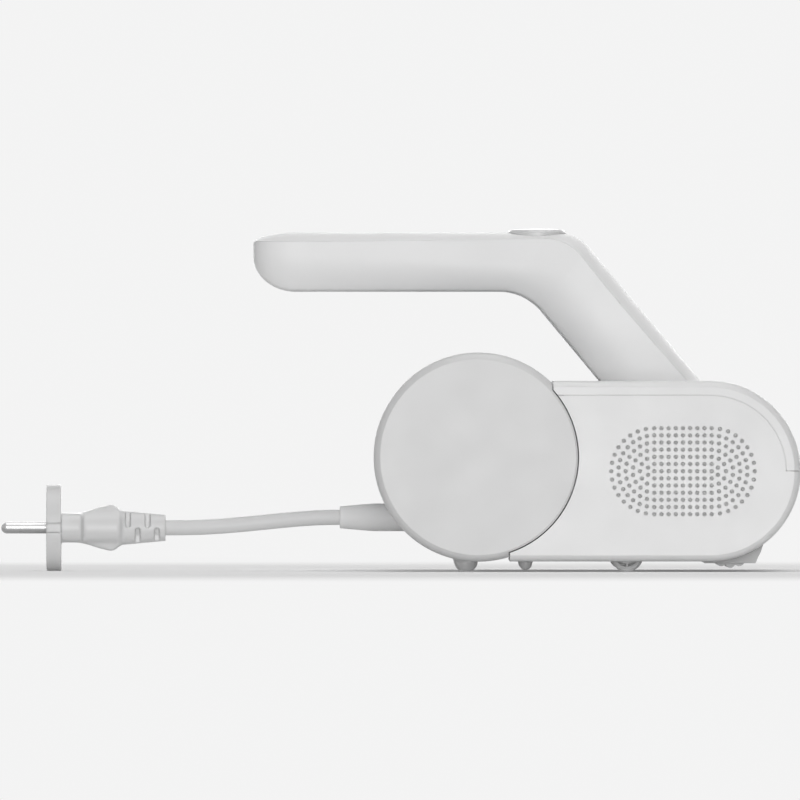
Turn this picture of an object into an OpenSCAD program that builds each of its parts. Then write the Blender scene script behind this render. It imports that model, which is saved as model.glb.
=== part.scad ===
// Corded handheld mattress vacuum: a flat-sided housing with a round nose, a drum-shaped
// dust cup at the back, a grip that runs back over the cup, and a short mains lead.
// +X is the nose, +Y the filter side, +Z up. The origin lies on the floor below the middle.

/* [Housing] */
// Width over both side panels
body_w = 210; // [195:1:240]
// Height of the housing's flat top above the floor
body_top = 80; // [79:0.5:84]
// Height of the housing's underside above the floor
body_bottom = 4.4; // [4:0.1:5.5]
// Distance from the origin to the centre of the round nose
nose_x = 76.9; // [74:0.5:82]
// Height of the housing's rounded edge band, seen from the side
edge_band = 2.6; // [1.5:0.1:3]
// Depth of the housing's rounded edge band across its width
edge_depth = 4.4; // [3:0.1:5]
// Thickness of the moulded walls
wall = 2.4; // [1.6:0.1:2.6]
// Depth of the top cover's band on the sides
band_h = 6.1; // [4:0.1:9]
// Width of the open seam between two casing parts
seam = 0.2; // [0.15:0.05:0.4]
// Rear edge of the housing at its top
rear_top_x = 11.2; // [10:0.1:13]
// Rear edge of the housing at its underside
rear_bottom_x = -7; // [-9:0.1:-5]

/* [Exhaust grille] */
// Distance between the exhaust holes
hole_pitch = 3; // [2.8:0.1:3.1]
// Diameter of an exhaust hole
hole_d = 1.7; // [1:0.1:1.8]
// Columns of holes in the straight middle of the grille
grille_columns = 9; // [5:2:11]
// Rings of holes round each end of the grille
grille_rings = 6; // [3:1:6]
// Distance from the origin to the middle of the grille
grille_x = 65.4; // [62:0.5:70]

/* [Dust cup] */
// Distance from the origin to the drum's axis
cup_x = -20.3; // [-21:0.1:-20]
// Height of the drum above the floor
cup_clear = 4.3; // [4:0.1:5]
// Radius of the drum's end discs
cup_r = 43.8; // [43.4:0.1:44.2]
// How far the end discs stand out over the edge of the housing's bay
bay_lip = 1.6; // [1.2:0.1:2]
// Clearance between the cup and the bay
cup_fit = 0.4; // [0.3:0.05:0.6]
// Height of the end discs' rounded rim band, seen from the side
rim_band = 2.8; // [1.5:0.1:3]
// Depth of the end discs' rounded rim band
rim_depth = 4.8; // [3:0.1:5]
// Width of one end disc
disc_w = 14; // [11:0.5:15]
// How far the end discs stay behind the side panels
disc_inset = 1; // [0.5:0.1:2]
// Height of the cup's flat floor
cup_floor = 31.6; // [31:0.1:32.5]
// Thickness of the cup's clear wall
cup_wall = 1.8; // [1.4:0.1:2.2]
// Outer radius of the filter
filter_r = 20.4; // [18:0.2:20.8]
// Height of the filter's axis
filter_z = 61; // [60:0.5:62]
// Pleats round the filter
pleats = 44; // [24:2:60]

/* [Handle] */
// Width of the grip
grip_w = 34; // [30:0.5:38]
// Width of the post at its foot
foot_w = 42; // [38:0.5:48]
// Rear tip of the grip
tip_x = -114.8; // [-118:0.2:-108]
// Height of the grip's underside above the floor
grip_under = 117.6; // [116.5:0.1:118]
// Height of the grip itself, from its underside to its top
grip_t = 25; // [23.8:0.2:26.4]
// Slope of the post
post_angle = 50.2; // [48:0.2:52]
// Where the post's outer edge meets the housing
post_front_x = 73.6; // [72:0.2:75]
// Where the post's inner edge meets the housing
post_rear_x = 30.8; // [30.4:0.2:32]
// Thickness of the handle's shell
shell_t = 2.4; // [1.8:0.1:3]
// Diameter of the power button
button_d = 24.8; // [20:0.2:26]
// Distance from the grip's front bend back to the power button's axis
button_back = 16.8; // [16:0.2:20]
// Travel of the power button
button_travel = 1.2; // [0.8:0.1:1.5]

/* [Suction head] */
// Distance from the origin to the roller's axis
roller_x = 85.4; // [85:0.1:86]
// Height of the roller's axis
roller_z = 13.6; // [13.4:0.1:14]
// Radius over the roller's lobes
roller_r = 12; // [11:0.1:12.1]
// Lobes round the roller
lobes = 16; // [12:1:20]
// Clearance round the roller
roller_gap = 0.6; // [0.4:0.05:0.7]
// Height of the suction lip above the floor
lip_z = 3.6; // [3:0.1:3.8]
// Distance from a housing side to the end of the suction mouth
mouth_inset = 21; // [20:0.5:21]

/* [Running gear] */
// Radius of a wheel
wheel_r = 7; // [6:0.1:7.2]
// Width of a wheel
wheel_w = 10; // [7:0.5:12]
// Distance from the origin to the wheels' axle
wheel_x = 42.1; // [41:0.1:43]
// Distance from a housing side to the middle of a wheel
wheel_inset = 30; // [29:0.5:33]
// Distance from the origin to the rear feet
foot_x = -25.3; // [-27:0.1:-24]
// Distance from a housing side to a foot
foot_inset = 45; // [35:0.5:55]

/* [Power parts] */
// Distance from the origin to the fan's shaft
fan_x = 54; // [53.8:0.1:54.6]
// Height of the fan's shaft
fan_z = 46; // [45.8:0.1:46.6]
// Room between the fan's casing and the bay's wall
fan_gap = 0.9; // [0.8:0.1:2.5]
// How much smaller the fan motor's radius is than the casing's
motor_step = 7; // [6.6:0.2:9]
// Room between the fan motor's end and the suction duct
motor_gap = 2.4; // [1.5:0.1:9]
// Radius of the roller's motor
drive_r = 12; // [9:0.2:12.4]
// Distance from the origin to the roller motor's shaft
drive_x = 92; // [91:0.2:93]
// Height of the roller motor's shaft
drive_z = 52; // [51:0.2:53]
// Radius of the pulley on the roller
big_pulley_r = 4; // [3.4:0.1:4.2]
// Radius of the pulley on the roller's motor
small_pulley_r = 2.4; // [2:0.1:3]
// Radius of the lamp tube
lamp_r = 3.5; // [2.5:0.1:3.7]
// Half the length of the lamp window
window_half = 58; // [40:0.5:60]

/* [Lead and plug] */
// Diameter of the mains lead
cord_d = 6.5; // [5:0.1:7.5]
// Height of the lead where it leaves the boot
cord_z = 22.55; // [22:0.05:23]
// Radius of the plug's flange
plug_r = 18.15; // [17.5:0.05:18.5]
// Diameter of a plug pin
pin_d = 4.8; // [4:0.1:5]
// Length of a plug pin
pin_len = 19; // [17:0.5:20]
// Distance between the plug pins
pin_pitch = 19; // [17.5:0.5:20]

/* [Hidden] */
$fn = 96;
half_w = body_w / 2;
nose_r = (body_top - body_bottom) / 2;
nose_z = (body_top + body_bottom) / 2;
inner_half = half_w - wall;
floor_z = body_bottom + wall;
cup_z = cup_clear + cup_r;
bay_r = cup_r - bay_lip;
mouth_half = half_w - mouth_inset;
wheel_y = half_w - wheel_inset;
foot_y = half_w - foot_inset;
roller_len = 2 * (mouth_half - 1);
grip_top = grip_under + grip_t;
roof_z = body_top - wall;
band_r = nose_r - band_h;
base_half = half_w - disc_inset - disc_w;
disc_out = half_w - disc_inset;
disc_in = disc_out - disc_w;
barrel_half = disc_in;
rear_half = disc_in - 0.6;
barrel_r = cup_r - 0.6;
cut_r = bay_r - cup_fit;
bay_wall_t = 2.2;
bay_out_r = bay_r + bay_wall_t;
fan_r = fan_x - cup_x - bay_out_r - fan_gap;
motor_r = fan_r - motor_step;
cheek_y = mouth_half + 2;
chamber_r = roller_r + roller_gap;
chamber_out_r = chamber_r + 1.2;
plenum_top = roller_z + roller_r + 6.9;
plenum_low = roller_z + 5;
plenum_w = 16;
plenum_x0 = roller_x - 3.4;
plenum_x1 = plenum_x0 + plenum_w;
run = 0.05;
touch = 0.01;
big = 400;

// Air path: the suction duct on the filter side and the clean duct beside the fan
duct_wall = 1.6;
suction_w = 25.6;
suction_y0 = mouth_half - suction_w;
suction_y1 = mouth_half;
suction_z0 = 50;
suction_z1 = 64;
clean_y0 = -46;
clean_z0 = 38;
clean_z1 = 60;
fan_half = 12;
fan_eye_r = 13;
partition_y = -20;
motor_len = suction_y0 - motor_gap - fan_half;

// Screws
screw_r = 1.5;
screw_head_r = 2.8;

white = [0.90, 0.90, 0.89];
drum_white = [0.84, 0.84, 0.83];
shade = [0.62, 0.62, 0.62];
dark = [0.25, 0.25, 0.26];
steel = [0.72, 0.73, 0.75];

// ---- Helpers -------------------------------------------------------------

// Turns a flat XZ drawing into a solid that runs along Y from y0 to y1
module along_y(y0, y1) {
    translate([0, y1, 0])
        rotate([90, 0, 0])
            linear_extrude(y1 - y0)
                children();
}

// A cylinder along Y
module rod_y(x, z, r, y0, y1) {
    translate([x, y1, z])
        rotate([90, 0, 0])
            cylinder(r = r, h = y1 - y0);
}

// A ring along Y
module ring_y(x, z, r_out, r_in, y0, y1) {
    along_y(y0, y1)
        translate([x, z])
            difference() {
                circle(r_out);
                circle(r_in);
            }
}

module box(x0, x1, y0, y1, z0, z1) {
    translate([x0, y0, z0])
        cube([x1 - x0, y1 - y0, z1 - z0]);
}

module rect(x0, x1, z0, z1) {
    translate([x0, z0])
        square([x1 - x0, z1 - z0]);
}

module both_sides() {
    children();
    mirror([0, 1, 0])
        children();
}

// A rectangle with round corners, centred
module round_rect(w, h, r) {
    square([w - 2 * r, h], center = true);
    square([w, h - 2 * r], center = true);
    for (sx = [-1, 1], sy = [-1, 1])
        translate([sx * (w / 2 - r), sy * (h / 2 - r)])
            circle(r);
}

// A solid swept through rings of equal length, each a list of [x, y, z]
module sweep(rings) {
    n = len(rings[0]);
    last = len(rings) - 1;
    points = [for (ring = rings) for (p = ring) p];
    sides = [for (i = [0:last - 1]) for (k = [0:n - 1]) let (a = i * n + k, b = i * n + (k + 1) % n)
        [a, a + n, b + n, b]];
    ends = [[for (k = [0:n - 1]) k], [for (k = [n - 1:-1:0]) last * n + k]];
    polyhedron(points = points, faces = concat(sides, ends), convexity = 6);
}

// Ring of a round tube across a route that lies in the XZ plane
function tube_ring(p, dir, r, sides) =
    let (m = norm(dir), t = dir / m)
    [for (k = [0:sides - 1]) let (a = 360 * k / sides)
        [p[0] - t[1] * r * cos(a), r * sin(a), p[1] + t[0] * r * cos(a)]];

// A coil spring that stands on z0
module coil_spring(x, y, z0, z1, r, wire, turns) {
    steps = 10;
    rise = z1 - z0 - 2 * wire;
    rings = [for (i = [0:turns * steps]) let (a = 360 * i / steps, z = z0 + wire + rise * i / (turns * steps))
        [for (k = [0:5]) let (b = 60 * k)
            [x + (r + wire * cos(b)) * cos(a), y + (r + wire * cos(b)) * sin(a), z + wire * sin(b)]]];
    sweep(rings);
}

// ---- Housing forms ---------------------------------------------------------

// Radius of an arc that starts as a crease on one face and runs out smoothly on the other
function band_arc(band, depth) = (band * band + depth * depth) / (2 * band);

// A corner between a side face and a top face, filled up to its rounded band
module banded_corner(band, depth) {
    rho = band_arc(band, depth);
    intersection() {
        translate([-depth, -rho])
            circle(rho);
        translate([-depth, -band])
            square([depth, band]);
    }
}

// The housing's cross-section across Y and Z, centred, drawn inset from the outside
module housing_section(inset) {
    w = half_w - inset;
    h = nose_r - inset;
    if (inset > 0)
        round_rect(2 * w, 2 * h, 0.8);
    else {
        square([2 * (w - edge_depth), 2 * h], center = true);
        square([2 * w, 2 * (h - edge_band)], center = true);
        for (a = [0, 1], b = [0, 1])
            mirror([a, 0])
                mirror([0, b])
                    translate([w, h])
                        banded_corner(edge_band, edge_depth);
    }
}

// The nose's half section: radius along X, width along Y
module nose_section(inset) {
    intersection() {
        rotate(90)
            housing_section(inset);
        translate([0, -half_w])
            square([nose_r, body_w]);
    }
}

// The housing's outer form: a long body with a round nose and rounded edges
module housing_form(inset) {
    translate([rear_bottom_x - 1, 0, 0])
        rotate([90, 0, 90])
            linear_extrude(nose_x - rear_bottom_x + 1)
                translate([0, nose_z])
                    housing_section(inset);
    translate([nose_x, 0, nose_z])
        rotate([90, 0, 0])
            rotate([0, 0, -90])
                rotate_extrude(angle = 180)
                    nose_section(inset);
}

// Side view of the housing, as far as it is closed at the back
module housing_outline() {
    difference() {
        union() {
            rect(rear_bottom_x, nose_x, body_bottom, body_top);
            translate([nose_x, nose_z])
                circle(nose_r);
        }
        translate([cup_x, cup_z])
            circle(bay_r);
        rect(rear_bottom_x - 1, rear_top_x, cup_z, body_top + 1);
    }
}

// Side view of everything above the seam: a band along the top and round the nose
module above_seam(gap) {
    difference() {
        rect(rear_bottom_x - 2, nose_x + nose_r + 5, nose_z + gap, body_top + 5);
        rect(rear_bottom_x - 3, nose_x, nose_z - 5, nose_z + band_r + gap);
        translate([nose_x, nose_z])
            circle(band_r + gap);
    }
}

// Side view of everything below the seam
module below_seam() {
    rect(rear_bottom_x - 2, nose_x, 0, nose_z + band_r);
    rect(nose_x - 1, nose_x + nose_r + 5, 0, nose_z);
    translate([nose_x, nose_z])
        circle(band_r);
}

// Positions of the exhaust holes, from the middle of the grille
grille_mid = (grille_columns - 1) / 2 * hole_pitch;
ring_parts = [3, 6, 9, 12, 15, 16];
grille_rows = 2 * grille_rings + 1;
hole_spots = concat(
    [for (i = [0:grille_columns - 1]) for (j = [0:grille_rows - 1])
        [i * hole_pitch - grille_mid, (j - grille_rings) * hole_pitch]],
    [for (s = [-1, 1]) for (k = [1:grille_rings]) for (i = [1:ring_parts[k - 1] - 1])
        let (a = 180 * i / ring_parts[k - 1] - 90)
        [s * (grille_mid + k * hole_pitch * cos(a)), k * hole_pitch * sin(a)]]
);

// Rounded bar on the inside of a panel that frames its grille
module grille_frame() {
    frame_h = (2 * grille_rings + 2) * hole_pitch;
    translate([grille_x, nose_z])
        difference() {
            round_rect(2 * grille_mid + frame_h + 3, frame_h + 3, frame_h / 2 + 1.4);
            round_rect(2 * grille_mid + frame_h, frame_h, frame_h / 2 - 0.1);
        }
}

// Screw bosses: one close round the bay, two near the housing's top and bottom
bay_boss_r = bay_out_r + 4.2;
bay_boss_a = 24;
boss_spots = [
    [cup_x + bay_boss_r * cos(bay_boss_a), cup_z + bay_boss_r * sin(bay_boss_a)],
    [grille_x + 0.6, body_top - 11.4],
    [rear_bottom_x + 29, floor_z + 5.2]
];

module side_panel() {
    difference() {
        intersection() {
            housing_form(0);
            along_y(-half_w - 1, -base_half)
                intersection() {
                    housing_outline();
                    below_seam();
                }
        }
        intersection() {
            housing_form(wall);
            box(-big, big, -inner_half, 0, 0, big);
        }
        for (p = hole_spots)
            rod_y(grille_x + p[0], nose_z + p[1], hole_d / 2, -half_w - 1, -inner_half + 1);
    }
    along_y(-inner_half - touch, -inner_half + 1.6)
        grille_frame();
    for (p = boss_spots)
        along_y(-inner_half - touch, -inner_half + 7)
            translate(p)
                difference() {
                    circle(3);
                    circle(1.1);
                }
}

module side_panel_right() {
    color(white)
        side_panel();
}

module side_panel_left() {
    color(white)
        mirror([0, 1, 0])
            side_panel();
}

// Release button: its shelf, its hook close in front of the cup, and its opening in the cover
shelf_z = 66;
shelf_t = 2;
release_travel = 2;
hook_z = shelf_z + 4.6;
hook_x = cup_x + sqrt(pow(cut_r, 2) - pow(hook_z - release_travel - cup_z, 2)) + 0.4;
release_x0 = hook_x - 0.7;
release_x1 = post_rear_x - 3.2;
release_spring_x = (release_x0 + release_x1) / 2 + 2;
release_half = 13;
release_gap = 0.35;

module top_cover() {
    color(white)
        difference() {
            intersection() {
                housing_form(0);
                along_y(-half_w - 1, half_w + 1)
                    intersection() {
                        housing_outline();
                        above_seam(seam);
                    }
            }
            housing_form(wall);
            box(release_x0 - release_gap, release_x1 + release_gap,
                -release_half - release_gap, release_half + release_gap, roof_z - 1, body_top + 1);
            for (x = handle_screw_x)
                translate([x, 0, roof_z - 1])
                    cylinder(r = screw_r + 0.2, h = wall + 2);
        }
}

// ---- Base ------------------------------------------------------------------

lamp_x = 60;
lamp_z = floor_z + 4.1;
window_w = 12;
window_t = 1.4;
ledge = 1.5;
guard_bars = 9;
bar_w = 1.4;
plunger_x = wheel_x;
plunger_y = -30;
plunger_r = 4;
axle_r = 1.5;
well_gap = 1;
glide_x = -0.3;
bracket_t = 2.2;
wheel_half = wheel_w / 2;
axle_half = wheel_half + well_gap + bracket_t;

module lip_outline() {
    translate([roller_x, roller_z])
        circle(chamber_out_r);
    lip_rear = roller_x - chamber_out_r + 3;
    lip_front = roller_x + chamber_r - 2;
    polygon([
        [lip_rear, lip_z],
        [lip_front, lip_z],
        [roller_x + chamber_out_r - 0.1, roller_z - 2.4],
        [roller_x, roller_z],
        [lip_rear, roller_z]
    ]);
}

// Wheel pocket: an open box over a wheel, with ears that carry its axle
module wheel_pocket() {
    x0 = wheel_x - wheel_r - well_gap;
    x1 = wheel_x + wheel_r + well_gap;
    y0 = wheel_y - wheel_half - well_gap;
    y1 = wheel_y + wheel_half + well_gap;
    z1 = 2 * wheel_r + well_gap;
    difference() {
        box(x0 - 1.4, x1 + 1.4, y0 - bracket_t, y1 + bracket_t, body_bottom + 1, z1 + 1.4);
        wheel_opening();
    }
}

module wheel_opening() {
    box(wheel_x - wheel_r - well_gap, wheel_x + wheel_r + well_gap,
        wheel_y - wheel_half - well_gap, wheel_y + wheel_half + well_gap,
        0, 2 * wheel_r + well_gap);
}

// Small glide foot: a dome from z0 up to its full radius at z1, then a flare up to z2
module glide(x, y, z0, z1, z2, r) {
    dome = 1.06;
    start = asin(1 / dome);
    flare = 0.24 * r;
    translate([x, y, 0])
        rotate_extrude()
            polygon(concat(
                [[0, z0]],
                [for (i = [0:8]) let (a = start * (1 - i / 8)) [r * cos(a), z1 - dome * (z1 - z0) * sin(a)]],
                [for (i = [1:5]) let (a = 18 * i) [r + flare * (1 - cos(a)), z1 + (z2 - z1) * sin(a)]],
                [[0, z2]]
            ));
}

module base_plate() {
    color(white)
        difference() {
            union() {
                difference() {
                    intersection() {
                        housing_form(0);
                        along_y(-base_half + touch, base_half - touch)
                            intersection() {
                                housing_outline();
                                rect(rear_bottom_x - 1, nose_x + nose_r + 1, 0, nose_z);
                            }
                    }
                    housing_form(wall);
                }
                both_sides()
                    wheel_pocket();
                for (s = [-1, 1])
                    translate([0, plunger_y + s * (switch_half + 1.35), 0])
                        box(plunger_x - 2.8, plunger_x + 4, -1.25, 1.25, floor_z - 0.5, switch_low + switch_h);
                both_sides()
                    glide(glide_x, foot_y, 0.7, 3.7, body_bottom + 0.3, 2.75);
            }
            along_y(-cheek_y - seam, cheek_y + seam)
                translate([roller_x, roller_z])
                    circle(chamber_out_r + seam);
            along_y(-cheek_y - seam, cheek_y + seam)
                rect(roller_x - chamber_out_r + 2.6, roller_x + chamber_out_r - 1, 0, roller_z);
            both_sides() {
                wheel_opening();
                rod_y(wheel_x, wheel_r, axle_r + 0.05, wheel_y - axle_half - 1, wheel_y + axle_half + 1);
            }
            translate([plunger_x, plunger_y, 0])
                cylinder(r = plunger_r + 0.2, h = floor_z + 1);
            for (i = [0:guard_bars])
                let (step = 2 * window_half / (guard_bars + 1), y = -window_half + i * step)
                    box(lamp_x - window_w / 2, lamp_x + window_w / 2,
                        y + bar_w / 2, y + step - bar_w / 2, 0, floor_z + 1);
            box(lamp_x - window_w / 2 - ledge, lamp_x + window_w / 2 + ledge,
                -window_half - ledge, window_half + ledge, floor_z - window_t, floor_z + 1);
        }
}

// Where the bay's curve ends, above and below the drum's axis
bay_step_up = 20;
bay_step_down = 30;

// Curved wall at the back of the housing, with the two air ports and the release shelf
module bay_band() {
    intersection() {
        housing_outline();
        rect(rear_bottom_x - 1, nose_x, floor_z, roof_z);
        union() {
            translate([cup_x, cup_z])
                circle(bay_out_r);
            rect(rear_bottom_x - 1, rear_top_x + bay_wall_t, cup_z + bay_step_up, body_top);
            rect(rear_bottom_x - 1, rear_bottom_x + bay_wall_t, 0, cup_z - bay_step_down);
        }
    }
}

seal_w = 2;
seal_depth = 1.1;
hook_half = 6;

module port_frame(grow) {
    box(0, 40, suction_y0 + duct_wall - grow, suction_y1 - duct_wall + grow,
        suction_z0 + duct_wall - grow, suction_z1 - duct_wall + grow);
    box(0, 40, clean_y0 + duct_wall - grow, partition_y - 1 + grow,
        clean_z0 + duct_wall - grow, clean_z1 - duct_wall + grow);
}

module port_seals() {
    color(dark)
        intersection() {
            ring_y(cup_x, cup_z, bay_r + seal_depth, bay_r + 0.1, -big / 2, big / 2);
            difference() {
                port_frame(seal_w);
                port_frame(0);
            }
        }
}

module bay_wall() {
    color(shade) {
        difference() {
            intersection() {
                along_y(-inner_half, inner_half)
                    bay_band();
                housing_form(wall);
            }
            port_frame(0);
            intersection() {
                ring_y(cup_x, cup_z, bay_r + seal_depth + 0.05, bay_r - 2, -big / 2, big / 2);
                port_frame(seal_w + 0.05);
            }
            box(0, 30, -hook_half - 0.8, hook_half + 0.8, shelf_z + 2, roof_z + 1);
            box(-10, 20, 24, 40, floor_z + 6, floor_z + 12);
        }
        difference() {
            box(cup_x + bay_r - 6, release_spring_x + 4.3, -release_half, release_half,
                shelf_z - shelf_t, shelf_z);
            rod_y(cup_x, cup_z, bay_out_r - 0.5, -release_half - 1, release_half + 1);
        }
    }
}

// ---- Rear base under the cup --------------------------------------------------

// Side view of what fits between the drum's outside and the bay, grown inwards by inset
module drum_outline(r, inset) {
    intersection() {
        translate([cup_x, cup_z])
            circle(r - inset);
        union() {
            translate([cup_x, cup_z])
                circle(cut_r - inset);
            rect(cup_x - r, rear_top_x - cup_fit - inset, cup_z, cup_z + r);
            rect(cup_x - r, rear_bottom_x - cup_fit - inset, cup_z - r, cup_z);
        }
    }
}

base_r = cup_r - 0.8;
board_z = 22;
board_t = 1.6;
coil_l = 16;
coil_w = 14;
coil_h = 9;
can_r = 5;
can_h = 10;
small_can_r = 3;
small_can_h = 7;
relay_l = 12;
relay_w = 8;
relay_h = 5;
board_x0 = -44;
board_x1 = -6;
board_y1 = rear_half - 13.4;
board_y0 = board_y1 - 58;
boot_r = 5.85;
collar_r = 8;
collar_x = -43;

module cord_bore() {
    translate([collar_x - 20, 0, cord_z])
        rotate([0, 90, 0])
            cylinder(r = boot_r + 0.1, h = 24);
}

module rear_base() {
    floor_top = cup_floor - cup_fit;
    color(white) {
        difference() {
            along_y(-rear_half, rear_half)
                intersection() {
                    drum_outline(base_r, 0);
                    rect(-big, big, 0, floor_top);
                }
            along_y(-rear_half + wall, rear_half - wall)
                intersection() {
                    union() {
                        translate([cup_x, cup_z])
                            circle(base_r - wall);
                        rect(cup_x + 20, cup_x + bay_r, cup_z - 36, floor_top - wall);
                    }
                    rect(-big, big, 0, floor_top - wall);
                }
            cord_bore();
        }
        difference() {
            intersection() {
                translate([collar_x - 16, 0, cord_z])
                    rotate([0, 90, 0])
                        cylinder(r = collar_r, h = 16);
                along_y(-20, 20)
                    drum_outline(base_r - 1, 0);
            }
            cord_bore();
        }
        for (x = [board_x0 + 4, board_x1 - 4], y = [board_y0 + 4, board_y1 - 4])
            translate([x, y, board_z + board_t])
                difference() {
                    cylinder(r = 2.6, h = floor_top - wall - board_z - board_t + 0.5);
                    translate([0, 0, -1])
                        cylinder(r = 0.9, h = 6);
                }
    }
}

foot_r = 4.9;
foot_dome = 4;

module rear_feet() {
    color(shade)
        for (s = [-1, 1])
            difference() {
                glide(foot_x, s * foot_y, 0, foot_dome, foot_dome + 3.4, foot_r);
                rod_y(cup_x, cup_z, base_r, -big / 2, big / 2);
            }
}

// ---- Handle ---------------------------------------------------------------------

inner_corner_x = post_rear_x - (grip_under - body_top) / tan(post_angle);
outer_corner_x = post_front_x - (grip_top - body_top) / tan(post_angle);
inner_bend_r = 23;
outer_bend_r = 18;
inner_run = inner_bend_r * tan(post_angle / 2);
outer_run = outer_bend_r * tan(post_angle / 2);
tip_under_a = 18;
tip_under_b = 14.9;
tip_top_a = 17;
tip_top_b = 4.6;
tip_steps = 7;
grip_steps = 3;
bend_steps = 8;
post_steps = 5;
crown_grip = 3.9;
crown_post = 5.8;
grip_round = 13;

function mix(a, b, t) = a + (b - a) * t;

// Underside of the handle, from the grip's tip to the foot of the post, as [x, z]
under_edge = concat(
    [for (i = [0:tip_steps]) let (a = 90 * i / tip_steps)
        [tip_x + tip_under_a * (1 - cos(a)), grip_under + tip_under_b * (1 - sin(a))]],
    [for (i = [1:grip_steps]) [mix(tip_x + tip_under_a, inner_corner_x - inner_run, i / grip_steps), grip_under]],
    [for (i = [1:bend_steps]) let (a = 90 - post_angle * i / bend_steps)
        [inner_corner_x - inner_run + inner_bend_r * cos(a), grip_under - inner_bend_r + inner_bend_r * sin(a)]],
    [for (i = [1:post_steps]) mix(
        [inner_corner_x + inner_run * cos(post_angle), grip_under - inner_run * sin(post_angle)],
        [post_rear_x, body_top], i / post_steps)]
);

// Top of the handle, station by station with the underside
top_edge = concat(
    [for (i = [0:tip_steps]) let (a = 90 * i / tip_steps)
        [tip_x + tip_top_a * (1 - cos(a)), grip_top - tip_top_b * (1 - sin(a))]],
    [for (i = [1:grip_steps]) [mix(tip_x + tip_top_a, outer_corner_x - outer_run, i / grip_steps), grip_top]],
    [for (i = [1:bend_steps]) let (a = 90 - post_angle * i / bend_steps)
        [outer_corner_x - outer_run + outer_bend_r * cos(a), grip_top - outer_bend_r + outer_bend_r * sin(a)]],
    [for (i = [1:post_steps]) mix(
        [outer_corner_x + outer_run * cos(post_angle), grip_top - outer_run * sin(post_angle)],
        [post_front_x, body_top], i / post_steps)]
);

stations = len(under_edge);
bend_start = tip_steps + grip_steps;

// Width of the handle at a station: round at the tip, wider towards the foot
function width_at(i) =
    i < tip_steps ? grip_w * (0.44 + 0.56 * pow(sin(90 * i / tip_steps), 0.85)) :
    i <= bend_start ? grip_w :
    mix(grip_w, foot_w, (i - bend_start) / (stations - 1 - bend_start));

// Height of the crowned cover at a station
function crown_at(i) =
    let (full = i <= bend_start ? crown_grip : mix(crown_grip, crown_post, (i - bend_start) / (stations - 1 - bend_start)))
    i < tip_steps ? max(1, crown_grip + top_edge[i][1] - grip_top) : full;

// A point of a station: y across, d up from the underside in the station's own plane
function station_point(p, q, y, d) =
    let (dir = (q - p) / norm(q - p))
    [p[0] + dir[0] * d, y, p[1] + dir[1] * d];

// Closed ring of the lower shell: round below, open to the cover's seam above
function shell_ring(p, q, w, lift, top_d) =
    let (r_d = min(grip_round, (top_d - lift) * 0.8), r_y = min(grip_round, w * 0.42))
    concat(
        [station_point(p, q, -w / 2, top_d)],
        [for (k = [0:6]) let (a = 15 * k)
            station_point(p, q, -w / 2 + r_y * (1 - cos(a)), lift + r_d * (1 - sin(a)))],
        [for (k = [6:-1:0]) let (a = 15 * k)
            station_point(p, q, w / 2 - r_y * (1 - cos(a)), lift + r_d * (1 - sin(a)))],
        [station_point(p, q, w / 2, top_d)]
    );

function cover_ring(p, q, w, low_d, crown) =
    concat(
        [station_point(p, q, -w / 2, low_d)],
        [for (k = [10:-1:1]) let (a = 180 * k / 11)
            station_point(p, q, w / 2 * cos(a), low_d + 0.6 + (crown - 0.6) * sin(a))],
        [station_point(p, q, w / 2, low_d)]
    );

// Height of the handle's underside at x
function under_at(x) =
    x < inner_corner_x - inner_run ? grip_under :
    x < inner_corner_x + inner_run * cos(post_angle) ?
        grip_under - inner_bend_r + sqrt(pow(inner_bend_r, 2) - pow(x - inner_corner_x + inner_run, 2)) :
    grip_under - (x - inner_corner_x) * tan(post_angle);

handle_foot_t = 3;
button_x = outer_corner_x - button_back;
board_post_x = [button_x - 6.6, button_x + 6.6];
handle_screw_x = [40, 54];

module handle_hollow() {
    cavity_end = [
        post_rear_x - handle_foot_t / tan(post_angle),
        body_top + handle_foot_t
    ];
    cavity_end_top = [
        post_front_x - handle_foot_t / tan(post_angle),
        body_top + handle_foot_t
    ];
    rings = concat(
        [for (i = [4:stations - 2]) let (p = under_edge[i], q = top_edge[i], d = norm(q - p))
            shell_ring(p, q, width_at(i) - 2 * shell_t, shell_t, d - crown_at(i) + 0.6)],
        [shell_ring(cavity_end, cavity_end_top, foot_w - 2 * shell_t, shell_t + 1.5,
            norm(cavity_end_top - cavity_end) - crown_post + 0.6)]
    );
    sweep(rings);
}

module handle_shell() {
    color(white)
        difference() {
            union() {
                difference() {
                    sweep([for (i = [0:stations - 1]) let (p = under_edge[i], q = top_edge[i])
                        shell_ring(p, q, width_at(i), 0, norm(q - p) - crown_at(i))]);
                    handle_hollow();
                }
                for (x = handle_screw_x)
                    translate([x, 0, body_top + 1])
                        cylinder(r = 4, h = 7);
                for (x = board_post_x)
                    translate([x, 0, under_at(x) + 1])
                        cylinder(r = 1.8, h = switch_z - 3.7 - under_at(x) - 1);
            }
            for (x = handle_screw_x)
                translate([x, 0, body_top - 1])
                    cylinder(r = screw_r, h = 8);
        }
}

module handle_cover() {
    color(white)
        difference() {
            sweep([for (i = [0:stations - 1]) let (p = under_edge[i], q = top_edge[i], c = crown_at(i))
                cover_ring(p, q, width_at(i) - 0.5, norm(q - p) - c + 0.15, c - 0.15)]);
            translate([button_x, 0, grip_under])
                cylinder(r = button_d / 2 + 0.3, h = 60);
        }
}

button_top = grip_top + 1.5;
button_base = grip_top - 6.4;
switch_z = grip_top - 14;
board_half = grip_w / 2 - shell_t - 2.4;

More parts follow.
